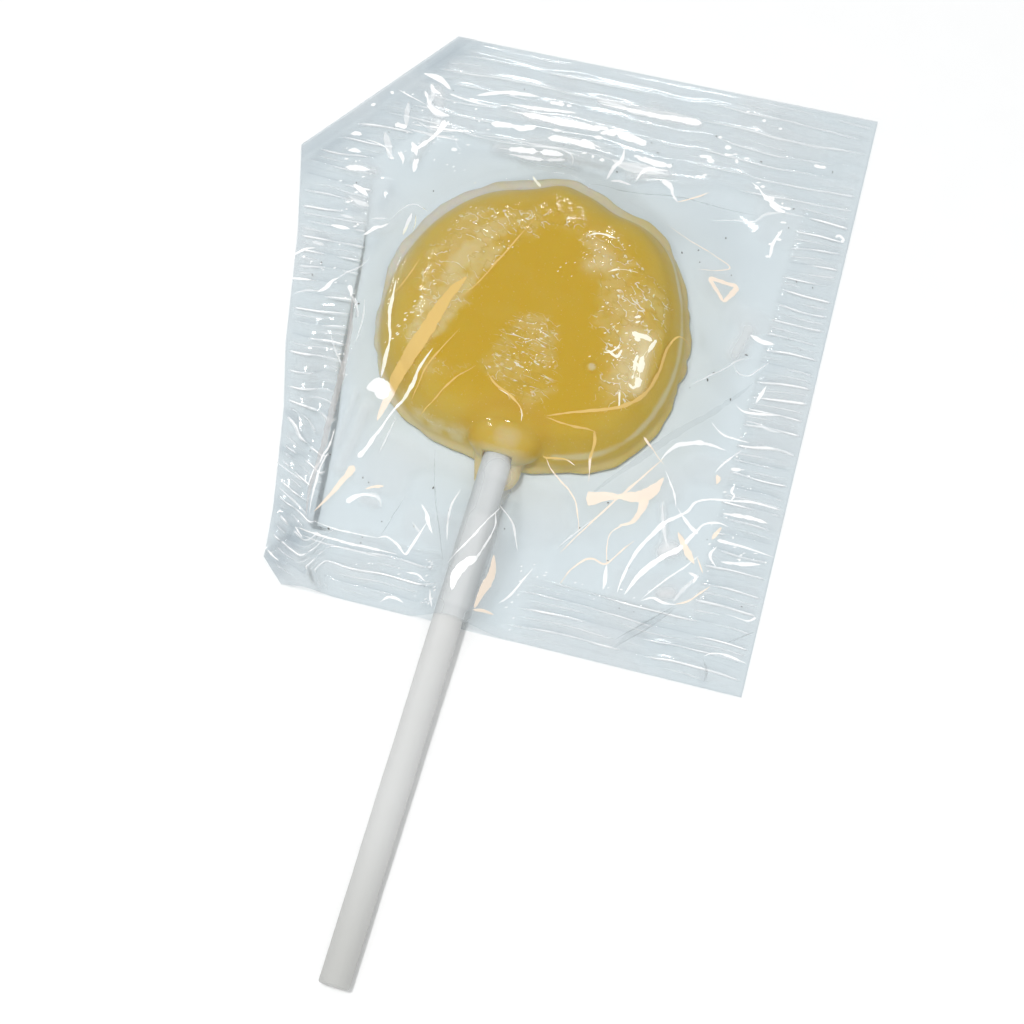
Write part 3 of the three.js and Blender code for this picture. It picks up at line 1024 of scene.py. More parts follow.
    def creases(self, x: Array, y: Array) -> Array:
        """Relief of the wrinkles in millimetres, at places in the plan."""
        wrinkled = self.cloudiness(x, y)[1]
        bends, lines, lumps = Grain(5), Grain(3), Grain(4)
        swayed_x = x + 0.9 * bends(x / 2.1, y / 2.1)
        swayed_y = y + 0.9 * bends(x / 2.1 + 20.0, y / 2.1 + 20.0)
        along = (0.9 * swayed_x - 0.44 * swayed_y) / 2.7
        across = (0.44 * swayed_x + 0.9 * swayed_y) / 1.1
        ridge = falling(np.abs(lines(along, across)), 0.0, 0.32)
        lump = 0.5 - np.abs(lumps(x / 1.9, y / 1.6))
        return wrinkled * (0.13 * ridge + 0.12 * lump)

    def _from_bubble(self, x: Array, y: Array) -> Array:
        """Distance from the small bubble's middle, in its radii."""
        return np.hypot(x - self.bubble[0], y - self.bubble[1]) / self.bubble[2]

    def _wrinkle(self, piece: bpy.types.Object) -> None:
        """Presses the wrinkles and the small bubble into the top."""
        places = vertices_of(piece)
        x, y, z = ((places - self.plan.origin) / MM).T
        on_top = smoothstep(z, 6.2, 7.6)
        broad = Grain(7)
        relief = self.creases(x, y) + 0.06 * broad(x / 3.5, y / 3.5)
        distance = self._from_bubble(x, y)
        relief = relief + 0.16 * falling(distance, 0.6, 1.2) - 0.07 * bell(distance, 1.5, 0.3)
        side = smoothstep(z, 1.6, 2.6) * (1.0 - on_top)
        bearing = np.arctan2(y, x) * self.outline.radius
        swell = 0.1 * side * broad(bearing / 4.0, z / 3.0)
        outward = np.hypot(x, y)
        places[:, 0] += swell * x / outward * MM
        places[:, 1] += swell * y / outward * MM
        places[:, 2] += relief * on_top * MM
        places[:, 2] = np.maximum(places[:, 2], self.underside * MM)
        move_vertices(piece, places)

    def _mark(self, piece: bpy.types.Object) -> None:
        """Stores where the candy is milky and where it is thin, and where its painted highlights and
        painted shade lie, for the material.
        """
        x, y, z = ((vertices_of(piece) - self.plan.origin) / MM).T
        inward = -self.outline.beyond(x, y)
        bearing = np.arctan2(y, x)
        inset = inward - self._wide_lip(bearing)
        upper_left = 0.5 + 0.5 * np.cos(bearing - math.radians(self.pale_bearing))
        lip = blend(0.55, 1.0, upper_left) * falling(inset, 0.4, 1.8)
        # Painted highlight: a pale line along the rim's crease, low on the candy and clear of the
        # stick, pales the lip and the milk there.
        below = falling(upper_left, 0.35, 0.75)
        from_stick = smoothstep(np.abs(degrees_apart(bearing, -90.0)), 16.0, 22.0)
        uneven = 1.0 + 0.4 * Grain(13)(x / 3.0, y / 3.0)
        rim_highlight = uneven * below * from_stick * bell(inward, self.rim_highlight_inset, 0.34)
        lip = np.maximum(lip, 0.7 * rim_highlight)
        # The paling over the shoulder is partly thinner honey and partly painted light that lifts the
        # shoulder's shade.
        edge = blend(0.25, 0.48, upper_left) * falling(inset, 0.5, 9.0)
        near_top = smoothstep(z, 4.5, 6.0)
        glow_x = (x - self.stick_glow[0]) / self.stick_glow[2]
        glow_y = (y - self.stick_glow[1]) / self.stick_glow[3]
        stick_glow = 0.62 * near_top * np.exp(-np.abs(glow_x) ** 3 - np.abs(glow_y) ** 3)
        bubble = 0.8 * near_top * falling(self._from_bubble(x, y), 0.7, 1.1)
        thin = np.maximum.reduce([lip, edge, stick_glow, bubble])
        set_attribute(piece, "thin", np.clip(thin, 0.0, 1.0))
        # Painted shade round the lump's foot.
        boss_foot_shade = 0.85 * bell(self.boss.away(x, y), 0.95, 0.3) * near_top * smoothstep(y, -21.5, -19.5)
        set_attribute(piece, "boss_foot_shade", boss_foot_shade * (1.0 - stick_glow))
        milky, wrinkled = self.cloudiness(x, y)
        on_top = smoothstep(z, 3.0, 4.5)
        above_lip = smoothstep(z, 1.9, 2.8)
        set_attribute(piece, "milky", np.clip(np.maximum(milky * above_lip, rim_highlight), 0.0, 1.0))
        # Where the painted sparkle lies, and where the painted glints and shade of the wrinkles and
        # scratches lie.
        patchy = smoothstep(Grain(12)(x / 3.0, y / 3.0), -0.2, 0.5)
        set_attribute(piece, "sparkling", (0.1 + 0.9 * wrinkled * patchy) * on_top)
        scratched = smoothstep(self.scratches.inside(x, y), -1.0, 1.5)
        set_attribute(piece, "scratched", scratched * on_top)
        set_attribute(piece, "wrinkled", wrinkled * (1.0 - 0.8 * scratched) * on_top)


# ---- Stick -------------------------------------------------------------------------------------


def rod(name: str, line: StickLine, plan: Plan, radius: float, sides: int) -> bpy.types.Object:
    """A round rod from the stick's near end to its far end.

    Args:
        name: The object's name.
        line: The stick's centre line.
        plan: The plan it lies in.
        radius: Its radius in millimetres.
        sides: Faces round it.

    Returns:
        The mesh object, with its place in its mesh.
    """
    near, far = plan.vector(*line.near), plan.vector(*line.far)
    deselect_all()
    bpy.ops.mesh.primitive_cylinder_add(
        vertices=sides, radius=radius * MM, depth=(near - far).length, location=(near + far) / 2.0,
        rotation=(near - far).to_track_quat("Z", "Y").to_euler(),
    )
    piece = named(name)
    apply_place(piece)
    return piece


@dataclass
class Stick:
    """The plain white stick, its ends a little rounded."""

    line: StickLine
    plan: Plan
    finish: StickFinish = field(default_factory=StickFinish)
    sides: int = 72
    cuts: int = 24
    end_rounding: float = 0.32
    # Length over which the painted shade darkens the far end.
    end_shade_length: float = 26.0

    def build(self) -> bpy.types.Object:
        """Models the stick and dresses it.

        Returns:
            The finished piece.
        """
        piece = rod("white_stick", self.line, self.plan, self.line.radius, self.sides)
        apply_modifier(
            piece, "BEVEL", width=self.end_rounding * MM, segments=4, limit_method="ANGLE",
            angle_limit=math.radians(50.0),
        )
        self._divide(piece)
        make_active(piece)
        bpy.ops.object.shade_smooth_by_angle(angle=math.radians(40.0))
        finish_piece(piece, self.finish.make(), ["stick"])
        return piece

    def _divide(self, piece: bpy.types.Object) -> None:
        """Cuts the long faces across, makes the stick a little uneven along its length and stores where
        the painted shade at its far end lies.
        """
        near, far = self.plan.vector(*self.line.near), self.plan.vector(*self.line.far)
        along = (near - far).normalized()
        make_active(piece)
        bpy.ops.object.mode_set(mode="EDIT")
        for share in np.linspace(0.04, 0.96, self.cuts):
            bpy.ops.mesh.select_all(action="SELECT")
            bpy.ops.mesh.bisect(plane_co=far + (near - far) * float(share), plane_no=along)
        bpy.ops.object.mode_set(mode="OBJECT")
        places = vertices_of(piece)
        passed = (places - np.array(far)) @ np.array(along) / MM
        uneven = 0.018 * np.sin(passed / 3.1) + 0.014 * np.sin(passed / 1.37 + 1.0)
        axis = np.array(far) + np.outer(passed * MM, np.array(along))
        move_vertices(piece, axis + (places - axis) * (1.0 + uneven[:, None] / self.line.radius))
        # Painted shade, strongest at the far end.
        set_attribute(piece, "far_end_shade", falling(passed, 0.0, self.end_shade_length))


# ---- Pouch -------------------------------------------------------------------------------------


@dataclass(frozen=True)
class View:
    """The camera, set as the photograph was taken."""

    target: tuple[float, float, float] = (3.508, -26.978, 2.0)
    bearing: float = 15.73
    height: float = 72.0
    distance: float = 300.0
    lens: float = 79.1

    def direction(self) -> Array:
        """Unit vector from the target to the lens."""
        bearing, height = math.radians(self.bearing), math.radians(self.height)
        flat = math.cos(height)
        return np.array([math.sin(bearing) * flat, -math.cos(bearing) * flat, math.sin(height)])


@dataclass(frozen=True)
class Glow:
    """A soft patch along a line in plan, with its half width and its strength."""

    start: Point
    end: Point
    half: float
    strength: float

    def cover(self, x: Array, y: Array) -> Array:
        """Strength at places in plan, soft towards the edge."""
        distance, _ = along_segment(x, y, self.start, self.end)
        return self.strength * bell(distance, 0.0, self.half)


# Painted sheen and glare on the upper film, and painted light that lifts the shade along the stick.
PAINTED_SHEEN = (
    Glow((15.1, -2.6), (15.3, -7.6), 1.1, 0.5),
    Glow((12.6, -3.3), (13.4, -8.4), 1.5, 0.22),
    Glow((13.1, -0.9), (15.3, -0.8), 0.8, 0.3),
    Glow((4.8, 10.4), (6.5, 9.3), 1.0, 0.25),
    Glow((4.8, 7.2), (6.9, 7.8), 1.1, 0.25),
    Glow((10.4, 3.9), (13.6, 0.3), 2.2, 0.12),
    Glow((-12.5, 8.9), (-14.4, 0.7), 2.6, 0.1),
    Glow((26.6, 3.6), (27.5, 7.2), 1.1, 0.3),
    Glow((0.5, -23.0), (0.1, -46.0), 2.0, 0.4),
    Glow((24.4, -26.4), (25.4, -25.8), 1.0, 0.55),
    Glow((25.6, -32.0), (26.6, -31.6), 0.8, 0.4),
    Glow((22.6, -20.5), (24.4, -25.5), 0.5, 0.22),
    Glow((-19.6, -18.0), (-20.6, -27.0), 0.9, 0.16),
    Glow((-21.6, -16.0), (-22.0, -24.0), 0.5, 0.12),
    Glow((-24.0, 31.6), (-23.0, 28.6), 1.0, 0.3),
    Glow((-22.4, 26.6), (-24.0, 20.0), 0.7, 0.22),
    Glow((-1.0, 36.2), (13.0, 36.4), 0.6, 0.3),
    Glow((-14.0, 31.3), (2.0, 31.4), 0.8, 0.18),
    Glow((-13.0, 24.8), (-2.0, 24.8), 1.0, 0.2),
    Glow((6.0, 25.6), (11.0, 27.6), 0.9, 0.25),
    Glow((-32.0, 16.6), (-29.0, 16.8), 0.8, 0.25),
    Glow((-31.0, 11.6), (-29.0, 11.4), 0.7, 0.22),
    Glow((-16.4, -30.2), (-14.6, -30.4), 0.7, 0.2),
)

# Painted shade on both films, in patches along the folds and ridges.
PAINTED_SHADES = (
    Glow((-29.8, -21.0), (-28.2, -21.6), 0.6, 0.9),
    Glow((-28.8, -26.2), (-27.2, -26.9), 0.6, 0.9),
    Glow((-27.0, -33.6), (-25.6, -35.2), 1.2, 0.7),
    Glow((-26.4, -37.0), (-25.6, -37.3), 0.5, 1.0),
    Glow((-33.8, 5.3), (-32.4, 5.2), 0.45, 0.9),
    Glow((-37.2, 17.6), (-35.2, 20.2), 0.7, 0.5),
    Glow((-26.6, 5.4), (-25.2, 6.6), 1.1, 0.4),
    Glow((-26.4, 12.0), (-25.8, 15.6), 0.7, 0.5),
    Glow((-25.4, 35.0), (-23.0, 38.4), 0.9, 0.7),
    Glow((-23.8, -34.6), (-22.4, -33.6), 1.0, 0.7),
    Glow((-24.6, -43.4), (-23.0, -39.2), 0.9, 1.0),
    Glow((-27.5, 26.0), (-24.0, 29.0), 1.4, 0.3),
    Glow((18.0, 16.0), (25.0, 20.0), 5.0, 0.12),
    Glow((33.2, -40.8), (33.9, -42.2), 0.6, 0.4),
    Glow((24.5, -37.5), (28.0, -38.5), 1.2, 0.3),
)


@dataclass(frozen=True)
class PouchShape:
    """The pouch's plan, seals, tents and ridges, in millimetres."""

    outline: CandyOutline
    boss: Boss
    stick: StickLine

    bottom_right: Point = (39.1, -42.9)
    top_right: Point = (37.6, 43.7)
    fold_top: Point = (-23.5, 40.6)
    left_corners: tuple[Point, ...] = (
        (-23.4, -44.5), (-26.7, -41.6), (-27.6, -34.9), (-28.8, -29.0), (-30.6, -20.5), (-33.2, -11.4),
        (-36.6, 5.0), (-40.1, 18.0), (-23.5, 40.6),
    )
    seal_top: float = 15.5
    seal_right: tuple[float, float] = (9.0, 7.0)
    seal_bottom: float = 9.0
    seal_left: tuple[float, float] = (5.2, 10.5)
    heel: tuple[Point, Point] = ((-22.4, -36.2), (-27.0, -43.0))

    clearance: float = 0.42
    ply: float = 0.06
    base: float = 0.22
    rim: float = 3.0
    slack: float = 1.7
    lift: float = 2.4
    lift_reach: float = 4.2
    crest_half: float = 1.35
    drape_width: tuple[float, float] = (6.2, 4.4)
    mouth: tuple[float, float] = (2.2, 7.0)
    long_way: float = 86.0
    top_crisp: float = 0.4
    ridge_depth: tuple[float, float] = (0.2, 0.28)

    def bottom(self, x: Array) -> Array:
        """Place along Y of the bottom edge."""
        start, end = self.left_corners[0], self.bottom_right
        return blend(start[1], end[1], (x - start[0]) / (end[0] - start[0]))

    def top(self, x: Array) -> Array:
        """Place along Y of the top edge."""
        start, end = self.fold_top, self.top_right
        return blend(start[1], end[1], (x - start[0]) / (end[0] - start[0]))

    def share_up(self, x: Array, y: Array) -> Array:
        """How far up the pouch a place lies, from 0 at the bottom edge to 1 at the top edge."""
        return (y - self.bottom(x)) / (self.top(x) - self.bottom(x))

    def left(self, share: Array) -> Array:
        """Place across of the left edge."""
        corners = np.array(self.left_corners)
        return np.interp(share, self.share_up(corners[:, 0], corners[:, 1]), corners[:, 0])

    def right(self, share: Array) -> Array:
        """Place across of the right edge."""
        return blend(self.bottom_right[0], self.top_right[0], share)

    def spread(self, across: Array, share: Array) -> tuple[Array, Array]:
        """Places in plan of a unit square's points.

        Args:
            across: Share of the way from the left edge to the right edge.
            share: Share of the way from the bottom edge to the top edge.

        Returns:
            The places across and along.
        """
        x = blend(self.left(share), self.right(share), across)
        return x, blend(self.bottom(x), self.top(x), share)

    def seal_edges(self, x: Array, y: Array) -> tuple[Array, Array, Array, Array]:
        """Distances inward from the left, right, top and bottom seal's inner edge."""
        up = self.share_up(x, y)
        left = x - self.left(up) - np.interp(up, (0.0, 0.72), self.seal_left)
        right = self.right(up) - blend(*self.seal_right, up) - x
        return left, right, self.top(x) - self.seal_top - y, y - self.bottom(x) - self.seal_bottom

    def inside(self, x: Array, y: Array) -> Array:
        """Distance inward from the seals, above zero where the pouch is open."""
        return np.minimum.reduce(self.seal_edges(x, y))

    def sealed(self, x: Array, y: Array) -> Array:
        """1 in the seals and 0 where the two films are apart."""
        middle, half = self.mouth
        gap = np.exp(-(((x - middle) / half) ** 6)) * smoothstep(-y, 22.0, 32.0)
        return falling(self.inside(x, y), -0.7, 0.5) * (1.0 - gap)

    def crimp(self, x: Array, y: Array) -> Array:
        """Distance across the crimped ridges, in millimetres."""
        left = self.seal_edges(x, y)[0]
        warp = Grain(21)
        slant = 0.62 * smoothstep(-y, 15.0, 27.0) * falling(left, -1.0, 3.0)
        across = self.long_way * self.share_up(x, y) + slant * (x + 30.0)
        return across + 0.6 * warp(x / 14.0, y / 5.0) + 0.3 * warp(x / 5.0 + 9.0, y / 2.5)

    def in_top(self, x: Array, y: Array) -> Array:
        """1 in the top seal and 0 below it."""
        return smoothstep(-self.seal_edges(x, y)[2], -1.0, 1.0)

    def crisp(self, x: Array, y: Array) -> Array:
        """How sharp the ridges' lines are, from 0 to 1: the top seal's are soft."""
        return self.sealed(x, y) * self.margin(x, y) * blend(1.0, self.top_crisp, self.in_top(x, y))

    def ridges(self, x: Array, y: Array) -> Array:
        """Rise of the crimped ridges."""
        swell = Grain(22)
        wave = (0.5 + 0.5 * np.cos(math.tau * self.crimp(x, y) / RIDGE_PITCH)) ** 1.6
        depth = blend(*self.ridge_depth, smoothstep(x, 20.0, 26.0))
        depth = depth * (0.6 + 0.4 * swell(x / 6.0, y / 2.6))
        return depth * wave * self.sealed(x, y) * self.margin(x, y)

    def margin(self, x: Array, y: Array) -> Array:
        """0 along the plain cut edge and 1 farther in."""
        off_edge = smoothstep(self.edge_distance(x, y), 0.4, 1.4)
        return off_edge * smoothstep(self.from_slant(x, y), 1.8, 3.4)

    def edge_distance(self, x: Array, y: Array) -> Array:
        """Distance inward from the pouch's cut edge."""
        up = self.share_up(x, y)
        sides = x - self.left(up), self.right(up) - x, self.top(x) - y, y - self.bottom(x)
        return np.minimum.reduce(sides)

    def slopes(self, x: Array, y: Array) -> Array:
        """Height of the film over the candy and the stick, without its ridges."""
        beyond = self.outline.beyond(x, y)
        low = self.base + self.lift * np.exp(-np.maximum(beyond, 0.0) / self.lift_reach)
        over_both = rounded_max(self._tent(x, y, low), self._stick_ridge(x, y, low), 0.7)
        return rounded_max(over_both, self.boss.top(x, y) + self.clearance, 0.5)

    def _tent(self, x: Array, y: Array, low: Array) -> Array:
        """Height of the film over the candy, falling to a low height at the seals."""
        crown = self.outline.crown(x, y, self.rim) + self.clearance
        out = self.outline.beyond(x, y) + self.rim
        room = np.maximum(self.inside(x, y), 0.0)
        fall = np.where(out > 0.0, (room / np.maximum(out + room, 1e-6)) ** self.slack, 1.0)
        skirt = bell(np.maximum(out - 0.6, 0.0), 0.0, 3.0)
        return blend(low, crown, np.maximum(fall, skirt))

    def _stick_ridge(self, x: Array, y: Array, low: Array) -> Array:
        """Height of the film over the stick, draped down to a low height on both sides."""
        aside = x - self.stick.middle(y)
        off = np.abs(aside)
        width = np.where(aside > 0.0, *self.drape_width)
        drape = np.clip(1.0 - np.maximum(off - self.crest_half, 0.0) / width, 0.0, 1.0) ** 1.25
        crest = self.stick.height(y) + self.stick.radius + self.clearance
        round_off = 2.0 * (self.stick.radius + self.clearance)
        crest = crest - np.minimum(off, self.crest_half) ** 2 / round_off
        return blend(low, crest, drape * smoothstep(-y, 12.0, 17.0))

    def steepness(self, x: Array, y: Array) -> Array:
        """Rise of the film for each millimetre along the steepest way."""
        step = 0.2
        here = self.slopes(x, y)
        return np.hypot(self.slopes(x + step, y) - here, self.slopes(x, y + step) - here) / step

    def slack_waves(self, x: Array, y: Array) -> Array:
        """Loose waves and crumples between the candy and the seals."""
        beyond = self.outline.beyond(x, y)
        bearing = np.arctan2(y, x)
        spokes, crumple = Grain(31), Grain(32)
        radial = spokes(bearing * 5.5, np.maximum(beyond, 0.0) / 9.0)
        cells = 0.45 - np.abs(crumple(x / 5.5, y / 6.5))
        free = smoothstep(beyond, -1.5, 2.5) * smoothstep(self.inside(x, y), -0.5, 2.5)
        clear_of_stick = smoothstep(np.abs(x - self.stick.middle(y)), 2.0, 4.0)
        free = free * np.maximum(clear_of_stick, smoothstep(y, -16.0, -12.0))
        return free * (0.34 * radial + 0.5 * cells)

    def from_slant(self, x: Array, y: Array) -> Array:
        """Distance inward from the pouch's slanted upper left edge."""
        side, top = self.left_corners[-2], self.fold_top
        step_x, step_y = top[0] - side[0], top[1] - side[1]
        return (step_y * (x - side[0]) - step_x * (y - side[1])) / math.hypot(step_x, step_y)

    def corner_fold(self, x: Array, y: Array) -> tuple[Array, Array]:
        """Rise of the folded hem along the upper left slant, and shade of the crease beside it."""
        inward = self.from_slant(x, y)
        hem, crease, slope = falling(inward, 1.5, 2.0), bell(inward, 2.5, 0.7), bell(inward, 3.8, 1.4)
        return 0.16 * falling(inward, 1.6, 2.6), 0.7 * hem + 0.5 * crease + 0.35 * slope

    def heel_fold(self, x: Array, y: Array) -> tuple[Array, Array]:
        """Rise and shade of the crushed fold across the lower left corner."""
        distance, share = along_segment(x, y, *self.heel)
        fade = smoothstep(share, 0.0, 0.15)
        return 0.6 * fade * bell(distance, 0.0, 0.7), 0.7 * fade * bell(distance, 0.0, 1.2)

    def left_roll(self, x: Array, y: Array) -> Array:
        """Rise of the left seal where it curls up off the table, lower down."""
        left = self.seal_edges(x, y)[0]
        return 1.5 * smoothstep(-y, -6.0, 22.0) * bell(left, -1.6, 2.4)

    def upper(self, x: Array, y: Array) -> Array:
        """Height of the upper film."""
        height = self.slopes(x, y) + self.slack_waves(x, y) + self.ridges(x, y)
        height = height + self.corner_fold(x, y)[0] + self.heel_fold(x, y)[0] + self.left_roll(x, y)
        return np.maximum(height, self.ply + 0.08)

    def lower(self, x: Array, y: Array) -> Array:
        """Height of the lower film, which lies flat but for the seals."""
        return blend(np.full_like(x, self.ply), self.upper(x, y) - self.ply, self.sealed(x, y))


class Tone(Enum):
    """How a mark on the film looks."""

    # Painted highlight: these folds are white partly from stress and partly as painted glints and
    # sheen.
    WHITE = "sharp fold, white with stress"
    # Painted soft sheen on a fold.
    PALE = "soft fold, faintly white"
    # Painted warm reflection on a fold.
    WARM = "fold that mirrors warm light"
    ROSE = "dull line of the left seal"
    GREY = "faint dark line"
    SHADE = "broad soft shade"


class Taper(Enum):
    """How a mark's width runs along it."""

    BLADE = "widest in the middle, pointed at both ends"
    TAIL = "widest at its start, pointed at its end"
    ROUND = "even, with round ends"
    CHAIN = "beads and short dashes in a row"


@dataclass(frozen=True)
class Mark:
    """A fold or a streak in the upper film, through points in plan, with its half width."""

    tone: Tone
    half: float
    points: tuple[Point, ...]
    taper: Taper = Taper.BLADE


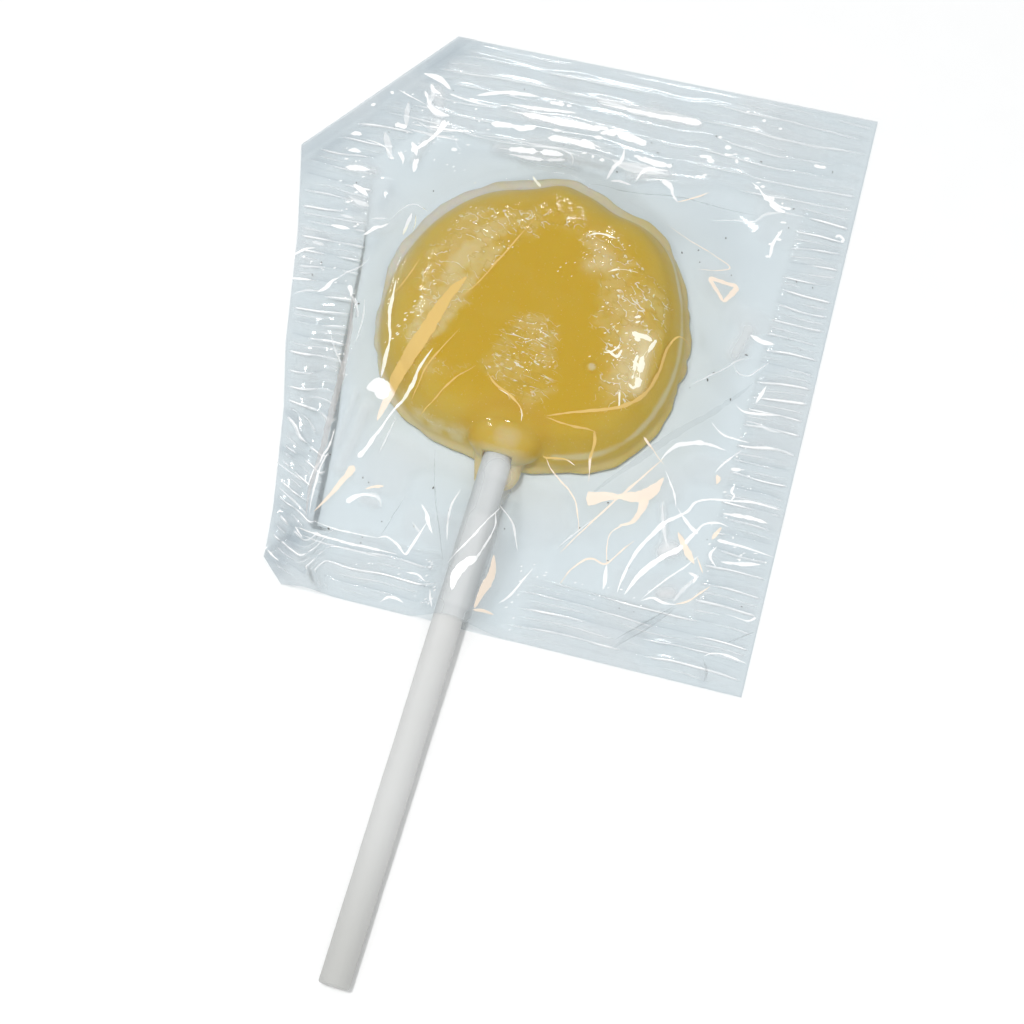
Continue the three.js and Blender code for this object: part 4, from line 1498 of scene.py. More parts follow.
# Folds and streaks in the upper film, in groups of one tone and taper. Each row is a half width and
# the places across and along of the points that it runs through, in millimetres over the plan.
# Most white, pale and warm strokes are painted highlights, glints and reflections on the folds.
STROKES = (
    (Tone.WHITE, Taper.BLADE, (
        # Over the candy.
        (0.12, 9.8, -4.5, 10.8, -4.1, 11.5, -3.3, 11.6, -2.5),
        (0.24, -12.2, -10.0, -13.3, -12.7, -14.1, -16.1, -15.5, -18.3, -16.6, -20.6),
        (1.1, -20.2, -15.6, -18.6, -15.2, -17.2, -16.2, -16.3, -16.9),
        (0.2, -20.2, -0.8, -20.0, -2.7, -19.6, -6.0, -18.6, -9.0, -18.4, -11.0),
        (0.28, -18.4, -9.8, -18.4, -11.6, -18.4, -14.2),
        (0.1, -2.2, -13.2, 0.0, -13.9, 1.5, -15.2, 1.8, -16.4),
        # Low on the left.
        (0.14, -22.8, -22.0, -22.8, -24.2, -23.2, -26.8, -23.7, -28.8, -23.8, -31.0),
        (0.14, -22.6, -25.4, -23.0, -28.0, -22.8, -32.0, -22.5, -34.4),
        (0.22, -8.5, -29.0, -7.5, -30.1, -6.8, -31.4, -6.0, -32.4),
        (0.17, -13.1, -35.0, -11.8, -34.4, -10.1, -35.1, -8.7, -36.1,
         -8.2, -34.8, -7.6, -32.5, -7.1, -31.0),
        (0.16, -3.8, -26.2, -4.5, -28.4, -4.2, -31.0, -3.6, -33.5),
        (0.2, -23.6, -37.0, -19.2, -36.7, -14.5, -36.6, -9.7, -36.4),
        (0.12, -21.5, -35.2, -17.0, -35.2, -13.0, -34.9),
        (0.16, -23.7, -36.8, -23.0, -37.5, -22.3, -38.0),
        (0.16, -10.1, -43.4, -9.2, -42.4, -8.0, -42.3, -7.0, -42.6),
        (0.14, -24.5, -41.7, -25.3, -41.4, -26.5, -40.5),
        (0.16, -7.9, -38.4, -6.2, -38.4, -4.9, -39.2),
        (0.12, -4.0, -40.3, -3.4, -41.8, -2.9, -43.0),
        # On the left.
        (0.36, -33.9, 21.5, -33.1, 21.8, -32.3, 21.8),
        (0.36, -33.5, 18.9, -32.6, 19.2, -31.6, 19.1),
        (0.42, -33.1, 16.3, -31.5, 16.6, -29.6, 16.8),
        (0.36, -31.2, 14.0, -29.8, 13.4, -28.7, 12.8),
        (0.26, -32.4, 7.1, -31.1, 7.2, -29.6, 7.2),
        (0.28, -27.5, 6.7, -26.2, 8.1, -25.3, 8.4, -24.4, 8.9),
        (0.34, -21.4, 6.3, -21.4, 8.2, -21.4, 10.4),
        (0.28, -31.2, -3.1, -30.3, -2.3, -29.6, -1.0, -28.9, -0.4),
        (0.15, -36.4, 1.1, -35.0, 2.5, -33.4, 3.3),
        (0.13, -35.6, -2.1, -34.0, -1.8, -32.5, -1.6),
        # By the folded corner.
        (0.08, -29.4, 30.0, -27.2, 29.5, -24.9, 28.8),
        (0.1, -23.6, 24.2, -21.2, 24.4, -18.7, 24.6),
        (0.09, -31.5, 21.2, -30.0, 21.1, -28.4, 20.6, -26.9, 19.5),
        (0.4, -25.2, 22.6, -24.5, 21.8, -23.8, 20.4),
        (0.22, -26.3, 20.8, -25.6, 19.6, -25.3, 18.6),
        (0.36, -23.9, 19.8, -23.5, 18.6, -23.3, 17.4),
        (0.42, -26.6, 33.5, -24.3, 33.3, -22.2, 32.1),
        (0.3, -25.2, 32.2, -24.5, 31.4, -23.3, 31.0),
        (0.26, -24.8, 28.7, -23.2, 28.0, -21.3, 28.1),
        # Along the top.
        (0.36, -18.4, 32.2, -15.4, 33.5, -12.2, 34.2, -9.7, 34.4),
        (0.28, -13.5, 32.2, -11.7, 32.3, -9.7, 32.5, -7.8, 32.8, -4.0, 33.3),
        (0.24, 4.1, 29.7, 4.1, 27.7, 3.4, 26.1, 3.1, 23.0),
        (0.26, 3.7, 22.9, 4.8, 23.7, 6.5, 23.9),
        (0.28, 6.9, 25.0, 7.4, 26.6, 8.4, 27.6, 10.9, 28.0),
        (0.24, 10.2, 26.4, 11.7, 26.1, 12.3, 24.5, 13.4, 23.1),
        (0.28, 24.0, 28.6, 26.1, 27.3, 28.6, 26.8),
        (0.26, 28.5, 23.5, 27.8, 21.2, 27.8, 18.8),
        # On the right.
        (0.36, 28.0, 6.8, 29.8, 6.4, 31.5, 6.5),
        (0.13, 28.4, -3.6, 29.7, -4.2, 31.7, -4.0, 34.8, -3.4),
        (0.13, 26.0, -7.3, 27.7, -8.3, 29.5, -8.4, 31.6, -8.4),
        (0.2, 31.1, -2.6, 31.4, -1.5, 31.9, 0.2),
        (0.17, 31.2, -14.7, 31.0, -15.8, 31.5, -16.2, 31.1, -17.4),
        (0.12, 28.2, -13.9, 29.1, -12.2, 30.1, -10.7),
        (0.34, 30.1, -12.7, 30.8, -12.6, 31.6, -12.4),
        (0.32, 30.6, -19.1, 32.4, -18.9, 34.4, -18.7, 36.7, -18.8),
        (0.26, 32.0, -25.7, 34.1, -25.4, 37.2, -24.7),
        (0.18, 31.0, -23.8, 30.4, -25.2, 31.5, -26.6),
        (0.16, 33.0, -38.9, 34.0, -38.2, 35.9, -38.0, 38.6, -38.3),
        # Low on the right.
        (0.28, 20.8, -15.1, 21.4, -13.7, 22.5, -12.2, 24.3, -11.2, 26.2, -10.5, 28.9, -10.4),
        (0.26, 17.5, -30.3, 17.7, -31.7, 17.9, -32.8, 17.9, -33.7),
        (0.27, 19.8, -33.6, 20.0, -31.4, 20.7, -28.0, 22.1, -25.1,
         23.7, -22.5, 25.9, -20.4, 26.8, -18.6, 29.0, -17.5),
        (0.17, 27.2, -18.1, 29.1, -17.5, 31.3, -17.1, 33.8, -16.5, 38.0, -16.5),
        (0.4, 20.8, -33.6, 22.0, -30.5, 23.6, -28.2, 24.9, -26.8,
         26.2, -25.6, 27.4, -23.3, 28.4, -21.5),
        (0.12, 27.4, -23.3, 28.5, -21.4, 30.2, -20.6, 31.8, -20.7),
        (0.12, 21.8, -16.2, 23.6, -18.5, 24.4, -20.2),
        (0.12, 23.1, -33.6, 25.0, -30.8, 27.5, -27.8, 29.0, -25.7),
        (0.18, 23.1, -33.8, 24.5, -33.0, 26.2, -33.2, 27.8, -33.0),
        (0.26, 28.2, -28.3, 29.3, -28.6, 29.2, -29.6),
        (0.12, 2.0, -27.5, 4.1, -28.9, 5.6, -31.7),
        # Over the stick.
        (0.12, 2.1, -27.8, -0.3, -33.1, -2.5, -36.9),
        (0.12, 1.7, -28.4, 2.1, -31.0, 0.9, -35.7, -0.4, -36.8),
        (0.7, 1.2, -35.2, -0.2, -37.0, -0.9, -38.6, -0.8, -40.6),
        (0.14, 5.2, -39.5, 6.2, -37.9, 8.2, -33.4),
    )),
    (Tone.WHITE, Taper.TAIL, (
        # Over the candy.
        (0.38, -18.6, -25.0, -17.6, -23.0, -16.4, -20.2, -15.4, -18.0),
        # Low on the left.
        (0.34, -18.3, -31.4, -17.4, -30.4, -16.0, -29.7, -14.6, -29.7),
        # On the left.
        (0.36, -27.1, -1.2, -26.6, -2.0, -26.3, -3.0),
        # By the folded corner.
        (0.18, -22.1, 31.4, -19.6, 31.1, -16.7, 31.0, -14.2, 31.5),
        (0.4, -21.6, 27.2, -22.1, 24.9, -23.0, 23.2, -24.6, 21.2),
        # Along the top.
        (0.48, 13.6, 36.6, 10.8, 36.4, 8.0, 36.1, 3.6, 35.9, -1.1, 35.7),
        # On the right.
        (0.24, 30.8, -22.9, 34.1, -22.9, 38.7, -23.2),
        (0.14, 38.4, -31.9, 37.2, -32.7, 34.5, -32.5),
        # Low on the right.
        (0.32, 28.1, -22.8, 26.2, -21.6, 24.6, -20.2),
    )),
    (Tone.WHITE, Taper.ROUND, (
        # Over the candy.
        (0.26, 13.2, -1.3, 14.1, -1.4),
        (0.17, 12.5, 1.5, 13.3, 2.0),
        (0.15, 12.8, 0.8, 13.4, 1.3),
        (0.16, -6.5, 19.2, -5.6, 18.1, -4.9, 17.2),
        # By the folded corner.
        (0.32, -28.3, 24.7, -27.4, 24.6, -26.5, 24.6),
        (0.42, -24.4, 22.2, -24.5, 21.5, -24.5, 20.9),
        (0.34, -23.4, 19.9, -23.5, 19.2, -23.6, 18.5),
        (0.18, -26.6, 20.6, -25.9, 19.8, -25.3, 19.2),
        (0.24, -32.4, 26.5, -31.8, 27.0),
        (0.22, -30.4, 29.4, -29.8, 29.2),
        (0.24, -27.4, 19.5, -26.8, 19.3),
        (0.32, -19.4, 22.7, -18.5, 22.8),
        # Along the top.
        (0.36, 10.4, 26.3, 11.2, 25.9, 12.1, 25.2),
        (0.36, 25.8, 27.0, 27.1, 26.5, 28.3, 26.2),
        (0.2, 30.4, 34.5, 31.2, 34.5, 32.2, 34.6),
        (0.24, 35.9, 24.4, 36.4, 24.9, 37.1, 24.4, 36.8, 23.9),
        (0.3, -8.1, 33.9, -5.9, 34.1),
        (0.28, -3.3, 31.7, -2.2, 31.7, -1.2, 31.6),
    )),
    (Tone.WHITE, Taper.CHAIN, (
        # Over the candy.
        (0.34, 12.7, -0.6, 13.6, -0.8, 14.6, -0.7, 15.6, -0.8),
        (0.3, 15.3, -2.4, 15.0, -3.5, 14.9, -4.7),
        (0.42, 15.1, -3.8, 15.1, -5.0, 15.2, -6.1, 15.3, -7.7),
        (0.22, 14.3, -3.4, 14.2, -4.6, 14.4, -5.8, 14.4, -6.9),
        (0.2, 13.8, -4.5, 14.6, -4.8, 15.3, -5.5),
        (0.18, 14.1, -7.6, 14.8, -7.9, 15.3, -7.3),
        (0.22, 16.1, -0.4, 15.6, -2.1, 15.4, -3.4),
        (0.12, 13.3, -9.0, 13.5, -10.2, 13.8, -11.2),
        (0.16, 10.2, -4.0, 11.7, -4.6, 12.1, -3.4),
        (0.14, 7.4, 6.9, 8.9, 7.7, 11.3, 8.0),
        (0.12, 3.3, 11.2, 4.9, 12.1, 7.2, 12.0),
        # By the folded corner.
        (0.14, -26.1, 25.3, -23.4, 25.6, -20.5, 25.9, -17.6, 26.2),
        (0.3, -21.0, 27.2, -21.8, 25.4, -22.9, 23.4, -24.4, 21.2),
        (0.2, -19.3, 24.8, -18.9, 23.8, -18.0, 22.9),
        (0.2, -25.7, 30.9, -24.2, 28.8, -22.6, 28.1, -21.3, 28.0),
        # Along the top.
        (0.42, 2.5, 31.6, 4.1, 31.5, 5.6, 31.3, 6.9, 31.2),
        (0.42, 6.1, 28.8, 7.7, 28.7, 9.2, 28.7, 10.6, 28.8),
        (0.28, -5.9, 31.3, -3.0, 31.5, -0.2, 31.5),
        (0.38, -2.2, 29.1, -0.7, 29.0, 0.8, 28.8),
        (0.1, 22.6, 29.6, 24.4, 28.5, 26.1, 26.9),
        (0.45, -13.2, 30.9, -9.6, 31.2, -5.6, 31.2, -2.3, 31.5, 0.0, 31.5),
        (0.45, -15.2, 28.4, -12.7, 28.8, -10.7, 28.8, -8.9, 29.5),
        (0.3, -7.0, 29.7, -4.5, 30.0, -1.3, 30.2, 1.6, 30.5),
        (0.4, -6.8, 28.3, -3.8, 28.6, 0.2, 28.5),
        (0.5, -12.9, 24.7, -9.7, 25.3, -6.4, 25.8, -3.8, 25.9),
        (0.42, -11.9, 23.9, -8.8, 23.9, -5.5, 24.2, -3.3, 24.9),
        (0.34, 0.1, 31.1, 2.8, 31.9, 6.8, 31.5),
    )),
    (Tone.PALE, Taper.BLADE, (
        # Over the candy.
        (0.12, -14.9, -19.0, -15.5, -21.6, -15.9, -24.0),
        # Low on the left.
        (0.2, -17.0, -30.0, -15.5, -29.5, -14.2, -29.8, -13.6, -30.8),
        (0.12, -9.1, -31.5, -8.2, -32.3, -7.4, -32.9),
        (0.16, -22.6, -37.7, -17.0, -37.5, -11.5, -37.4),
        (0.12, -29.4, -28.2, -27.5, -29.0, -24.8, -30.3),
        (0.12, -27.7, -31.7, -25.4, -33.0, -22.6, -34.8),
        # On the left.
        (0.28, -31.2, 12.0, -29.8, 11.6, -28.0, 11.3),
        (0.24, -31.6, 9.0, -29.5, 9.0),
        (0.16, -27.2, 9.4, -26.3, 9.7, -25.0, 9.8),
        (0.09, -20.1, 6.8, -20.2, 8.3, -20.7, 10.1),
        (0.09, -24.3, 9.5, -23.2, 11.3, -21.5, 12.0, -19.0, 10.3),
        (0.12, -29.2, -0.7, -28.0, 0.6, -26.5, 1.8, -25.5, 3.4),
        (0.24, -34.2, 4.1, -32.4, 4.0),
        (0.14, -34.2, -4.1, -32.8, -3.3, -30.5, -2.8),
        (0.2, -26.4, -2.6, -25.3, -3.8, -24.4, -5.8),
        (0.12, -24.2, -3.1, -23.7, -5.7, -23.6, -9.5),
        (0.1, -27.3, -9.0, -26.3, -10.7, -25.0, -12.4, -24.1, -13.8),
        # By the folded corner.
        (0.35, -27.4, 28.6, -27.1, 26.7, -26.6, 24.5),
        (0.5, -25.1, 30.5, -24.3, 28.8, -22.8, 27.9, -21.1, 28.0),
        (0.5, -29.3, 23.1, -28.2, 21.0, -27.3, 19.1),
        (0.3, -25.0, 32.4, -24.4, 30.4, -24.6, 28.8),
        (0.14, -25.5, 26.0, -22.4, 25.3, -17.6, 26.5),
        (0.18, -26.2, 24.4, -22.6, 24.5, -18.9, 24.8),
        # Along the top.
        (0.8, 2.9, 27.3, 4.9, 26.9, 7.7, 27.3, 10.4, 27.5),
        (0.17, -16.1, 26.1, -11.7, 26.7, -8.5, 26.7, -4.4, 26.8, -2.6, 26.0, -2.0, 23.2),
        (0.3, -1.6, 36.0, 1.2, 36.1, 4.6, 35.7, 8.6, 36.1),
        (0.16, 18.9, 21.9, 21.5, 23.0, 24.3, 23.6, 25.6, 25.1, 27.7, 26.0, 31.0, 26.4),
        # On the right.
        (0.12, 26.7, 2.1, 27.6, 1.0, 29.3, 1.1, 30.6, 2.6, 31.6, 3.8),
        (0.1, 22.1, -3.8, 24.8, -0.6, 26.9, 2.2, 28.9, 3.8),
        (0.14, 30.4, -5.6, 31.5, -5.4, 33.9, -5.9, 35.4, -5.8),
        (0.12, 28.8, -12.3, 30.1, -10.8, 30.9, -9.6),
        # Low on the right.
        (0.1, 10.4, -30.0, 12.3, -27.5, 14.2, -25.0),
        (0.24, 22.5, -20.0, 22.9, -21.8, 23.8, -24.1, 24.8, -26.0),
        (0.34, 27.3, -32.6, 28.2, -30.7, 29.7, -28.3),
    )),
    (Tone.WARM, Taper.BLADE, (
        # Over the candy.
        (1.0, -10.7, 1.1, -12.3, -2.3, -13.8, -7.7, -15.6, -12.5, -16.6, -16.4, -17.4, -19.8),
        (0.1, -9.5, -6.4, -11.1, -9.8, -12.6, -13.2, -13.3, -16.9),
        (0.1, -6.0, -10.9, -8.2, -13.3, -10.4, -16.4, -11.6, -18.5),
        (0.1, -4.0, 12.3, -7.3, 4.6, -9.0, 0.7, -10.6, -2.0),
        (0.12, -17.7, 2.4, -18.4, 0.1, -19.4, -1.8, -20.0, -2.7),
        (0.22, 4.7, -15.0, 8.4, -13.4, 12.0, -12.0, 14.6, -10.3,
         16.5, -7.9, 17.5, -4.4, 17.8, -0.5, 18.8, 1.5, 20.4, 1.4),
        (0.18, -4.2, -11.5, -2.6, -12.8, -0.3, -13.7, 1.3, -14.9, 1.9, -15.8),
        (0.12, 4.8, -15.1, 7.9, -15.2, 10.8, -14.9, 11.9, -14.9),
        (0.14, 5.6, -19.4, 6.1, -19.7, 8.5, -19.2, 10.1, -19.6),
        (0.1, 6.0, -19.5, 7.4, -21.0, 10.9, -23.2, 12.2, -25.5, 12.9, -27.4),
        (0.08, 17.8, -13.2, 21.4, -15.5),
        # Low on the left.
        (0.18, -16.3, -29.0, -15.3, -28.5, -14.0, -28.1),
        # Along the top.
        (0.1, 13.4, 23.1, 15.5, 24.7, 17.2, 26.3),
        # On the right.
        (0.07, 12.9, 18.0, 16.8, 16.7, 20.6, 15.9, 22.9, 15.3, 21.3, 13.9, 18.8, 12.8),
        (0.28, 28.5, -14.1, 28.9, -14.7, 28.8, -15.4),
        (0.26, 30.1, -23.0, 30.5, -22.1, 30.9, -21.0),
        # Low on the right.
        (0.13, 21.2, -14.6, 18.2, -19.5, 14.5, -24.9, 11.1, -30.3),
        (0.75, 16.4, -21.6, 18.3, -21.1, 19.8, -20.4, 21.0, -18.9, 21.8, -17.1),
        (0.11, 18.4, -24.6, 16.9, -26.0, 16.9, -27.8, 17.5, -30.2),
        (0.12, 12.2, -34.5, 13.2, -32.0, 15.2, -30.1, 17.3, -30.2, 18.7, -28.3, 20.2, -26.3),
        (0.46, 25.5, -23.4, 26.7, -24.8, 27.8, -26.1, 28.7, -27.0),
        (0.08, 28.8, -26.0, 30.1, -27.9),
        (0.14, 27.6, -33.0, 29.2, -32.1, 30.3, -30.8, 31.5, -29.4),
        # Over the stick.
        (0.5, 3.0, -33.9, 3.4, -36.4, 2.9, -39.0, 2.5, -41.6),
        (0.22, 2.4, -41.9, 3.6, -41.4, 5.0, -41.2),
    )),
    (Tone.WARM, Taper.TAIL, (
        # Over the candy.
        (0.26, 11.4, -14.8, 11.8, -16.0, 11.8, -18.1, 12.4, -21.0),
        (0.24, 17.9, -13.2, 18.8, -13.8, 19.4, -14.2),
        # Low on the left.
        (0.5, -18.8, -26.2, -19.5, -28.3, -20.5, -30.6, -22.0, -34.0),
        # Low on the right.
        (0.9, 12.6, -23.0, 13.6, -22.7, 15.2, -22.0, 17.6, -21.4),
        (0.6, 20.2, -20.4, 20.0, -22.3, 19.3, -24.1, 17.7, -24.9),
    )),
    (Tone.WARM, Taper.ROUND, (
        # On the right.
        (0.3, 20.5, 12.3, 22.5, 12.6, 24.6, 13.0),
        (0.34, 24.6, 13.0, 24.1, 11.4, 23.3, 9.7),
        (0.28, 23.3, 9.7, 22.0, 10.9, 20.5, 12.3),
    )),
    (Tone.ROSE, Taper.BLADE, (
        # Low on the left.
        (0.4, -26.2, -2.5, -25.4, -5.7, -24.7, -9.0, -24.2, -14.0,
         -23.8, -20.5, -23.5, -26.0, -23.4, -31.0, -22.8, -35.0),
    )),
    (Tone.GREY, Taper.BLADE, (
        # Low on the left.
        (0.07, -10.9, -28.8, -11.7, -31.2, -12.6, -34.3),
        (0.07, -8.5, -22.1, -7.8, -25.1, -6.4, -29.0, -3.3, -36.4),
        # On the left.
        (0.16, -25.7, -3.5, -24.9, -4.8, -24.7, -5.9),
        # Along the top.
        (0.1, 1.6, 20.2, 8.2, 22.7, 13.2, 24.0, 19.2, 24.5, 24.0, 24.7),
        # On the right.
        (0.16, 33.1, -39.3, 33.8, -40.8, 33.9, -42.2),
        (0.13, 35.5, -36.3, 37.1, -35.0, 38.6, -33.9),
        # Low on the right.
        (0.1, 27.6, -33.3, 24.0, -37.0, 21.2, -39.8),
        (0.1, 27.5, -34.1, 24.5, -37.7, 21.8, -40.4),
    )),
    (Tone.SHADE, Taper.BLADE, (
        # Low on the right.
        (0.42, 12.8, -22.8, 15.2, -19.7, 17.9, -16.3, 20.8, -12.3,
         24.7, -7.4, 27.8, -3.2, 30.2, 0.4),
        (0.4, 27.9, -33.4, 26.1, -35.2, 23.8, -37.5, 21.1, -41.3),
    )),
)


def placed_marks() -> list[Mark]:
    """The folds and streaks of STROKES, one mark a row."""
    return [
        Mark(tone, half, tuple(zip(places[::2], places[1::2])), taper)
        for tone, taper, rows in STROKES
        for half, *places in rows
    ]


@dataclass(frozen=True)
class Glints:
    """A row of painted glints, small white blobs on the film, between two places in plan."""

    start: Point
    end: Point
    count: int
    spread: float
    half: float

    def marks(self, draw: np.random.Generator) -> list[Mark]:
        """Scatters the row's blobs as short round marks."""
        made = []
        for share in np.linspace(0.0, 1.0, self.count):
            x = blend(self.start[0], self.end[0], share) + draw.normal(0.0, self.spread)
            y = blend(self.start[1], self.end[1], share) + draw.normal(0.0, self.spread)
            long = self.half * draw.uniform(0.6, 2.6)
            half = self.half * draw.uniform(0.5, 1.2)
            made.append(Mark(Tone.WHITE, half, ((x - long, y - 0.1), (x + long, y + 0.1)), Taper.ROUND))
        return made


# Rows of painted glints, as small white blobs, on the crimps and over the wrinkled honey.
GLINTS = (
    Glints((-3.0, 31.6), (6.5, 31.6), 9, 0.25, 0.32),
    Glints((-6.5, 34.4), (-5.4, 34.1), 2, 0.1, 0.34),
    Glints((-1.0, 27.1), (1.4, 27.0), 3, 0.15, 0.26),
    Glints((5.8, 28.9), (10.8, 29.0), 5, 0.2, 0.24),
    Glints((15.6, 31.8), (16.4, 31.4), 2, 0.15, 0.4),
    Glints((17.4, 34.8), (21.0, 31.8), 6, 0.6, 0.26),
    Glints((22.8, 29.6), (28.6, 26.6), 9, 0.45, 0.24),
    Glints((15.0, 28.5), (16.2, 28.6), 2, 0.2, 0.22),
    Glints((19.6, 40.3), (24.5, 38.6), 3, 0.2, 0.18),
    Glints((27.8, 19.0), (28.4, 24.0), 5, 0.3, 0.2),
    Glints((-28.0, 29.0), (-17.0, 27.0), 16, 2.2, 0.12),
    Glints((-26.0, 22.0), (-14.0, 18.0), 12, 2.0, 0.09),
    Glints((-33.0, 20.0), (-30.0, 6.0), 14, 0.9, 0.14),
    Glints((-36.0, 3.0), (-28.0, -2.0), 12, 1.2, 0.1),
    Glints((-27.5, -9.0), (-24.0, -15.0), 10, 0.7, 0.1),
    Glints((-5.5, -36.0), (-3.2, -42.6), 12, 0.35, 0.1),
    Glints((6.5, -33.4), (7.6, -42.0), 8, 0.35, 0.1),
    Glints((-14.0, -38.5), (-6.0, -38.8), 8, 0.4, 0.08),
    Glints((8.0, -33.6), (24.0, -33.6), 14, 0.7, 0.09),
    Glints((31.0, -27.0), (31.4, -4.0), 18, 0.7, 0.11),
    Glints((33.0, -24.0), (37.5, -24.0), 8, 0.5, 0.12),
    Glints((-18.5, -9.5), (-15.0, -1.5), 26, 0.4, 0.09),
    Glints((3.0, 11.5), (9.0, 12.0), 14, 0.5, 0.07),
    Glints((-6.0, 6.5), (-12.0, 11.0), 16, 1.2, 0.06),
    Glints((9.0, 2.0), (13.5, -8.0), 40, 1.6, 0.07),
    Glints((-1.5, -3.6), (2.0, -9.0), 30, 1.5, 0.06),
    Glints((1.0, 6.0), (8.0, 9.0), 16, 1.2, 0.06),
)


@dataclass
class Pouch:
    """The two films of the pouch, sealed round the edge, and the creases in the upper one, many of them
    painted highlights and painted shade.
    """

    shape: PouchShape
    plan: Plan
    crumpled: Callable[[Array, Array], Array]
    finish: FilmFinish = field(default_factory=FilmFinish)
    columns: int = 230
    rows: int = 424
    seed: int = 5
    section: tuple[Point, ...] = ((-1.0, 0.0), (-0.5, 0.75), (0.0, 1.0), (0.5, 0.75), (1.0, 0.0))
    crown: float = 0.06
    above_film: float = 0.03
    step: float = 0.22
    sway: float = 0.07
    thin_mark: float = 0.15
    least_half: float = 0.012
    tones: tuple = (
        (Tone.WHITE, MarkFinish((1.0, 1.0, 1.0), (0.97, 0.94, 0.78), 0.93)),
        (Tone.PALE, MarkFinish((1.0, 1.0, 1.0), (0.95, 0.88, 0.6), 0.45)),
        (Tone.WARM, MarkFinish((1.0, 0.86, 0.72), (0.76, 0.53, 0.19), 0.9)),
        (Tone.ROSE, MarkFinish((0.60, 0.575, 0.57), (0.6, 0.45, 0.2), 0.5)),
        (Tone.GREY, MarkFinish((0.34, 0.34, 0.34), (0.3, 0.25, 0.1), 0.25)),
        (Tone.SHADE, MarkFinish((0.42, 0.41, 0.40), (0.42, 0.3, 0.1), 0.08)),
    )

    def build(self) -> None:
        """Models both films and the marks on the upper one, and dresses them."""
        upper = self._film("upper_film", self.shape.upper)
        lower = self._film("lower_film", self.shape.lower)
        finish_piece(upper, self.finish.make("clear_film", self.finish.crinkle), ["wrapper"])
        finish_piece(lower, self.finish.make("clear_film_below", 0.0), ["wrapper"])
        draw = np.random.default_rng(self.seed)
        marks = placed_marks() + [mark for row in GLINTS for mark in row.marks(draw)]
        for tone, finish in self.tones:
            name = f"film_{tone.name.lower()}"
            piece = self._draw_marks(name, [mark for mark in marks if mark.tone is tone])
            finish_piece(piece, finish.make(f"{name}_fold"), ["wrapper"])

    def _film(self, name: str, height: Callable[[Array, Array], Array]) -> bpy.types.Object:
        """One film: a grid spread over the pouch's plan and raised to a height.

        Args:
            name: The piece's name.
            height: Gives the film's height over the plan.

        Returns:
            The mesh object.
        """
        deselect_all()
        bpy.ops.mesh.primitive_grid_add(x_subdivisions=self.columns, y_subdivisions=self.rows, size=2.0)
        film = named(name)
        square = vertices_of(film)
        x, y = self.shape.spread((square[:, 0] + 1.0) / 2.0, (square[:, 1] + 1.0) / 2.0)
        move_vertices(film, self.plan.place(np.column_stack([x, y, height(x, y)])))
        self._mark(film, x, y)
        shade_smooth(film)
        return film

    def _mark(self, film: bpy.types.Object, x: Array, y: Array) -> None:
        """Stores a film's white haze and painted sheen and its painted shade, for the material."""
        shape = self.shape
        sealed = shape.sealed(x, y)
        cut = falling(shape.edge_distance(x, y), 0.05, 0.3)
        clear_of_candy = smoothstep(shape.outline.beyond(x, y), 0.5, 3.0)
        milk = smoothstep(Grain(61)(x / 7.0, y / 4.5), 0.0, 0.7) * clear_of_candy
        # White haze with painted sheen and glare from the listed patches.
        haze_and_sheen = 0.02 * sealed + 0.09 * milk + sum(glow.cover(x, y) for glow in PAINTED_SHEEN)
        # Painted shade in the folds' creases and in the listed patches, with a darker cut edge and
        # greyer seals.
        shade = shape.corner_fold(x, y)[1] * 0.5 + shape.heel_fold(x, y)[1] + 0.06 * sealed
        shade = shade + 0.45 * cut + 0.5 * sum(shade_patch.cover(x, y) for shade_patch in PAINTED_SHADES)
        set_attribute(film, "haze_and_sheen", np.clip(haze_and_sheen, 0.0, 0.9))
        set_attribute(film, "shade", np.clip(shade, 0.0, 1.0))
        set_attribute(film, "sealed", sealed * shape.margin(x, y))
        set_attribute(film, "crisp", shape.crisp(x, y))
        set_attribute(film, "across", shape.crimp(x, y))
        set_attribute(film, "crumple", self.crumpled(x, y))
        set_attribute(film, "over_honey", falling(shape.outline.beyond(x, y), -0.8, 0.2))
        set_attribute(film, "open", 1.0 - 0.75 * smoothstep(shape.steepness(x, y), 0.2, 0.8))

    def _draw_marks(self, name: str, marks: Sequence[Mark]) -> bpy.types.Object:
        """Flat rounded folds that follow the upper film.

        Args:
            name: The piece's name.
            marks: The folds to make, all of one tone.

        Returns:
            One mesh object that holds them all.
        """
        deselect_all()
        profile = self._profile()
        bpy.ops.curve.primitive_bezier_curve_add()
        curve = named(name)
        curve.data.splines.clear()
        for mark in marks:
            route, widths = self._route(mark)
            spline = curve.data.splines.new("POLY")
            spline.points.add(len(route) - 1)
            rows = np.column_stack([route, np.zeros(len(route)), np.ones(len(route))])
            spline.points.foreach_set("co", rows.ravel())
            spline.points.foreach_set("radius", widths)
        curve.data.dimensions = "3D"
        curve.data.twist_mode = "Z_UP"
        curve.data.bevel_mode = "OBJECT"
        curve.data.bevel_object = profile
        make_active(curve)
        bpy.ops.object.convert(target="MESH")
        piece = named(name)
        bpy.data.objects.remove(profile, do_unlink=True)
        x, y, rise = vertices_of(piece).T
        height = self.shape.upper(x, y) + self.above_film + self.crown * np.abs(rise)
        move_vertices(piece, self.plan.place(np.column_stack([x, y, height])))
        set_attribute(piece, "honey", falling(self.shape.outline.beyond(x, y), -0.7, -0.2))
        self._turn_up(piece)
        shade_smooth(piece)
        piece.visible_shadow = False
        return piece

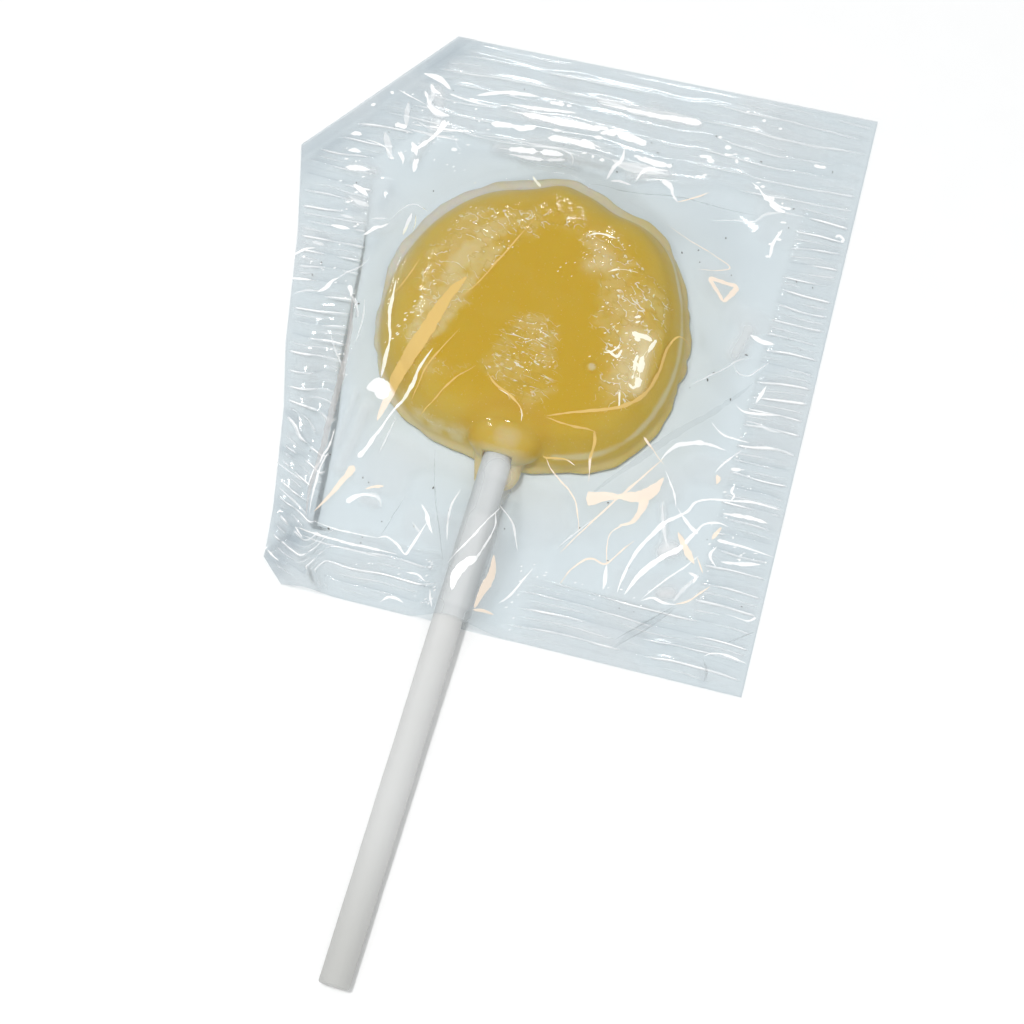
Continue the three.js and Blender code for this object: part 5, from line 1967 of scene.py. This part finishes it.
    def _profile(self) -> bpy.types.Object:
        """Cross section that is swept along every mark: a flat strip, a little crowned."""
        bpy.ops.curve.primitive_bezier_curve_add()
        profile = named("fold_profile")
        profile.data.dimensions = "2D"
        profile.data.splines.clear()
        spline = profile.data.splines.new("POLY")
        spline.points.add(len(self.section) - 1)
        spline.points.foreach_set("co", [value for x, y in self.section for value in (x, y, 0.0, 1.0)])
        return profile

    def _turn_up(self, piece: bpy.types.Object) -> None:
        """Turns a strip's faces so that they look up."""
        normals = np.empty(len(piece.data.polygons) * 3)
        piece.data.polygons.foreach_get("normal", normals)
        if normals.reshape(-1, 3)[:, 2].mean() < 0.0:
            make_active(piece)
            bpy.ops.object.mode_set(mode="EDIT")
            bpy.ops.mesh.select_all(action="SELECT")
            bpy.ops.mesh.flip_normals()
            bpy.ops.object.mode_set(mode="OBJECT")

    def _smooth_line(self, points: Array) -> Array:
        """Closely spaced places on a smooth line through a mark's points."""
        padded = np.vstack([2 * points[0] - points[1], points, 2 * points[-1] - points[-2]])
        line = []
        for i in range(len(points) - 1):
            before, start, end, after = padded[i:i + 4]
            count = max(int(np.hypot(*(end - start)) / self.step), 3)
            for t in np.linspace(0.0, 1.0, count, endpoint=False):
                line.append(0.5 * (
                    2 * start + (end - before) * t + (2 * before - 5 * start + 4 * end - after) * t**2
                    + (3 * start - before - 3 * end + after) * t**3
                ))
        return np.array([*line, points[-1]])

    def _route(self, mark: Mark) -> tuple[Array, Array]:
        """Runs a mark over the film.

        Args:
            mark: The fold or streak.

        Returns:
            The places that it runs through, a little swayed, and its uneven half widths there.
        """
        route = self._smooth_line(np.array(mark.points))
        share = np.linspace(0.0, 1.0, len(route))
        swing, ragged = Grain(54), Grain(51)
        x, y = route.T / 1.3
        fade = np.sin(math.pi * share)[:, None]
        route = route + self.sway * fade * np.column_stack([swing(x, y), swing(x + 30.0, y)])
        if mark.taper is Taper.BLADE:
            profile = np.sin(math.pi * share) ** 0.6
        elif mark.taper is Taper.TAIL:
            profile = np.minimum(1.0, (share / 0.06) ** 0.5) * (1.0 - share) ** 0.7
        else:
            profile = np.minimum(1.0, (np.minimum(share, 1.0 - share) / 0.12) ** 0.5)
        x, y = route.T
        if mark.taper is Taper.CHAIN:
            profile = profile * (0.1 + 0.9 * smoothstep(ragged(x / 1.5, y), -0.5, -0.1))
        rough = 0.4 * min(1.0, self.thin_mark / mark.half) ** 0.6
        uneven = 1.0 + rough * (ragged(x / 0.9, y / 0.9) + 0.6 * ragged(x / 0.3 + 9.0, y / 0.3))
        return route, np.maximum(mark.half * profile * uneven, self.least_half)


# ---- Dust --------------------------------------------------------------------------------------


@dataclass
class Dust:
    """Small dark specks that lie on the lower film, inside the pouch."""

    shape: PouchShape
    plan: Plan
    count: int = 70
    seed: int = 8
    across: Point = (-36.0, 37.0)
    along: Point = (-40.0, 36.0)
    from_candy: float = 0.8
    from_edge: float = 2.0
    stick_zone: Point = (3.0, -15.0)
    sizes: tuple[float, float] = (0.04, 0.11)
    above_film: float = 0.03

    def build(self) -> bpy.types.Object:
        """Scatters the specks as one piece.

        Returns:
            The finished piece.
        """
        draw = np.random.default_rng(self.seed)
        specks = []
        while len(specks) < self.count:
            x, y = draw.uniform(*self.across), draw.uniform(*self.along)
            if self._is_free(x, y):
                specks.append(self._speck(x, y, draw))
        piece = join("pouch_dust", specks)
        finish_piece(piece, plain_finish("dust", (0.2, 0.19, 0.18), 0.8), ["wrapper"])
        return piece

    def _is_free(self, x: float, y: float) -> bool:
        """Whether a place is clear of the candy, the cut edge and the stick."""
        place = np.array([x]), np.array([y])
        apart = float(self.shape.outline.beyond(*place)[0])
        edge = float(self.shape.edge_distance(*place)[0])
        on_stick = abs(x) < self.stick_zone[0] and y < self.stick_zone[1]
        return apart >= self.from_candy and edge >= self.from_edge and not on_stick

    def _speck(self, x: float, y: float, draw: np.random.Generator) -> bpy.types.Object:
        """One flattened uneven speck at a place in plan."""
        size = draw.uniform(*self.sizes) * MM
        height = float(self.shape.lower(np.array([x]), np.array([y]))[0]) + self.above_film
        deselect_all()
        bpy.ops.mesh.primitive_ico_sphere_add(
            subdivisions=2, radius=1.0, location=self.plan.vector(x, y, height),
            rotation=(0.0, 0.0, draw.uniform(0.0, math.tau)),
            scale=(size * draw.uniform(0.8, 2.4), size, size * 0.4),
        )
        speck = bpy.context.object
        apply_place(speck)
        return speck


# ---- Table, light and camera -------------------------------------------------------------------


class Shows(Enum):
    """What a lamp lights: matt surfaces, glossy ones, or both."""

    MATT = "matt"
    GLOSS = "gloss"
    BOTH = "both"


@dataclass(frozen=True)
class SoftLight:
    """A flat lamp over the table, by its bearing in plan from +X and its height, in degrees."""

    name: str
    bearing: float
    height: float
    distance: float
    size: tuple[float, float]
    power: float
    colour: tuple = (1.0, 1.0, 1.0)
    shows: Shows = Shows.BOTH

    def hang(self, target: Vector) -> None:
        """Adds the lamp and points it at a target."""
        bearing, height = math.radians(self.bearing), math.radians(self.height)
        flat = math.cos(height)
        direction = Vector((flat * math.cos(bearing), flat * math.sin(bearing), math.sin(height)))
        bpy.ops.object.light_add(type="AREA", location=target + direction * self.distance)
        lamp = bpy.context.object
        lamp.name = self.name
        lamp.rotation_euler = direction.to_track_quat("Z", "Y").to_euler()
        lamp.data.shape = "RECTANGLE"
        lamp.data.size, lamp.data.size_y = self.size
        lamp.data.energy = self.power
        lamp.data.color = self.colour
        lamp.visible_diffuse = self.shows is not Shows.GLOSS
        lamp.visible_glossy = self.shows is not Shows.MATT


@dataclass
class Studio:
    """The pale table, the soft daylight and the camera."""

    plan: Plan
    view: View = field(default_factory=View)
    daylight: float = 0.5
    table_side: float = 6.0
    lamps: tuple[SoftLight, ...] = (
        SoftLight("window", -90.0, 77.0, 0.9, (0.8, 0.8), 2.1, (1.0, 0.99, 0.97), Shows.MATT),
        SoftLight("flash", -142.0, 81.0, 0.7, (0.06, 0.06), 2.1, (1.0, 1.0, 1.0), Shows.MATT),
        SoftLight("white_lamp", 150.0, 42.0, 0.7, (0.08, 0.08), 0.9, (1.0, 1.0, 1.0), Shows.GLOSS),
        SoftLight("back_lamp", 98.0, 40.0, 0.7, (0.13, 0.05), 0.8, (1.0, 1.0, 1.0), Shows.GLOSS),
    )

    def build(self) -> None:
        """Lays the table, hangs the lamps and sets the camera."""
        deselect_all()
        bpy.ops.mesh.primitive_plane_add(size=self.table_side)
        table = named("table")
        table.data.materials.append(plain_finish("pale_table", (0.95, 0.95, 0.945), 0.9))
        target = self.plan.vector(*self.view.target)
        for lamp in self.lamps:
            lamp.hang(target)
        self._set_daylight()
        self._set_camera(target)
        bpy.context.scene.view_settings.view_transform = "Standard"

    def _set_daylight(self) -> None:
        """Even light from all round."""
        world = bpy.data.worlds.new("daylight")
        world.use_nodes = True
        background = world.node_tree.nodes["Background"]
        background.inputs["Color"].default_value = (0.96, 0.98, 1.0, 1.0)
        background.inputs["Strength"].default_value = self.daylight
        bpy.context.scene.world = world

    def _set_camera(self, target: Vector) -> None:
        """Looks down at the lollipop as the photograph does."""
        direction = Vector(self.view.direction())
        bpy.ops.object.camera_add(location=target + direction * self.view.distance * MM)
        camera = bpy.context.object
        camera.name = "camera"
        camera.rotation_euler = direction.to_track_quat("Z", "Y").to_euler()
        camera.data.lens = self.view.lens
        camera.data.clip_start = 0.01
        bpy.context.scene.camera = camera


def main() -> None:
    """Builds the lollipop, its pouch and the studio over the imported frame."""
    logging.basicConfig(level=logging.INFO, format="%(message)s")
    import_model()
    outline, boss, line = CandyOutline(), Boss(), StickLine()
    plan = Plan(outline)
    shape = PouchShape(outline, boss, line)
    candy = HoneyCandy(outline, boss, line, plan)
    candy.build()
    Stick(line, plan).build()
    Pouch(shape, plan, candy.crumpled).build()
    Dust(shape, plan).build()
    Studio(plan).build()


if __name__ == "__main__":
    main()
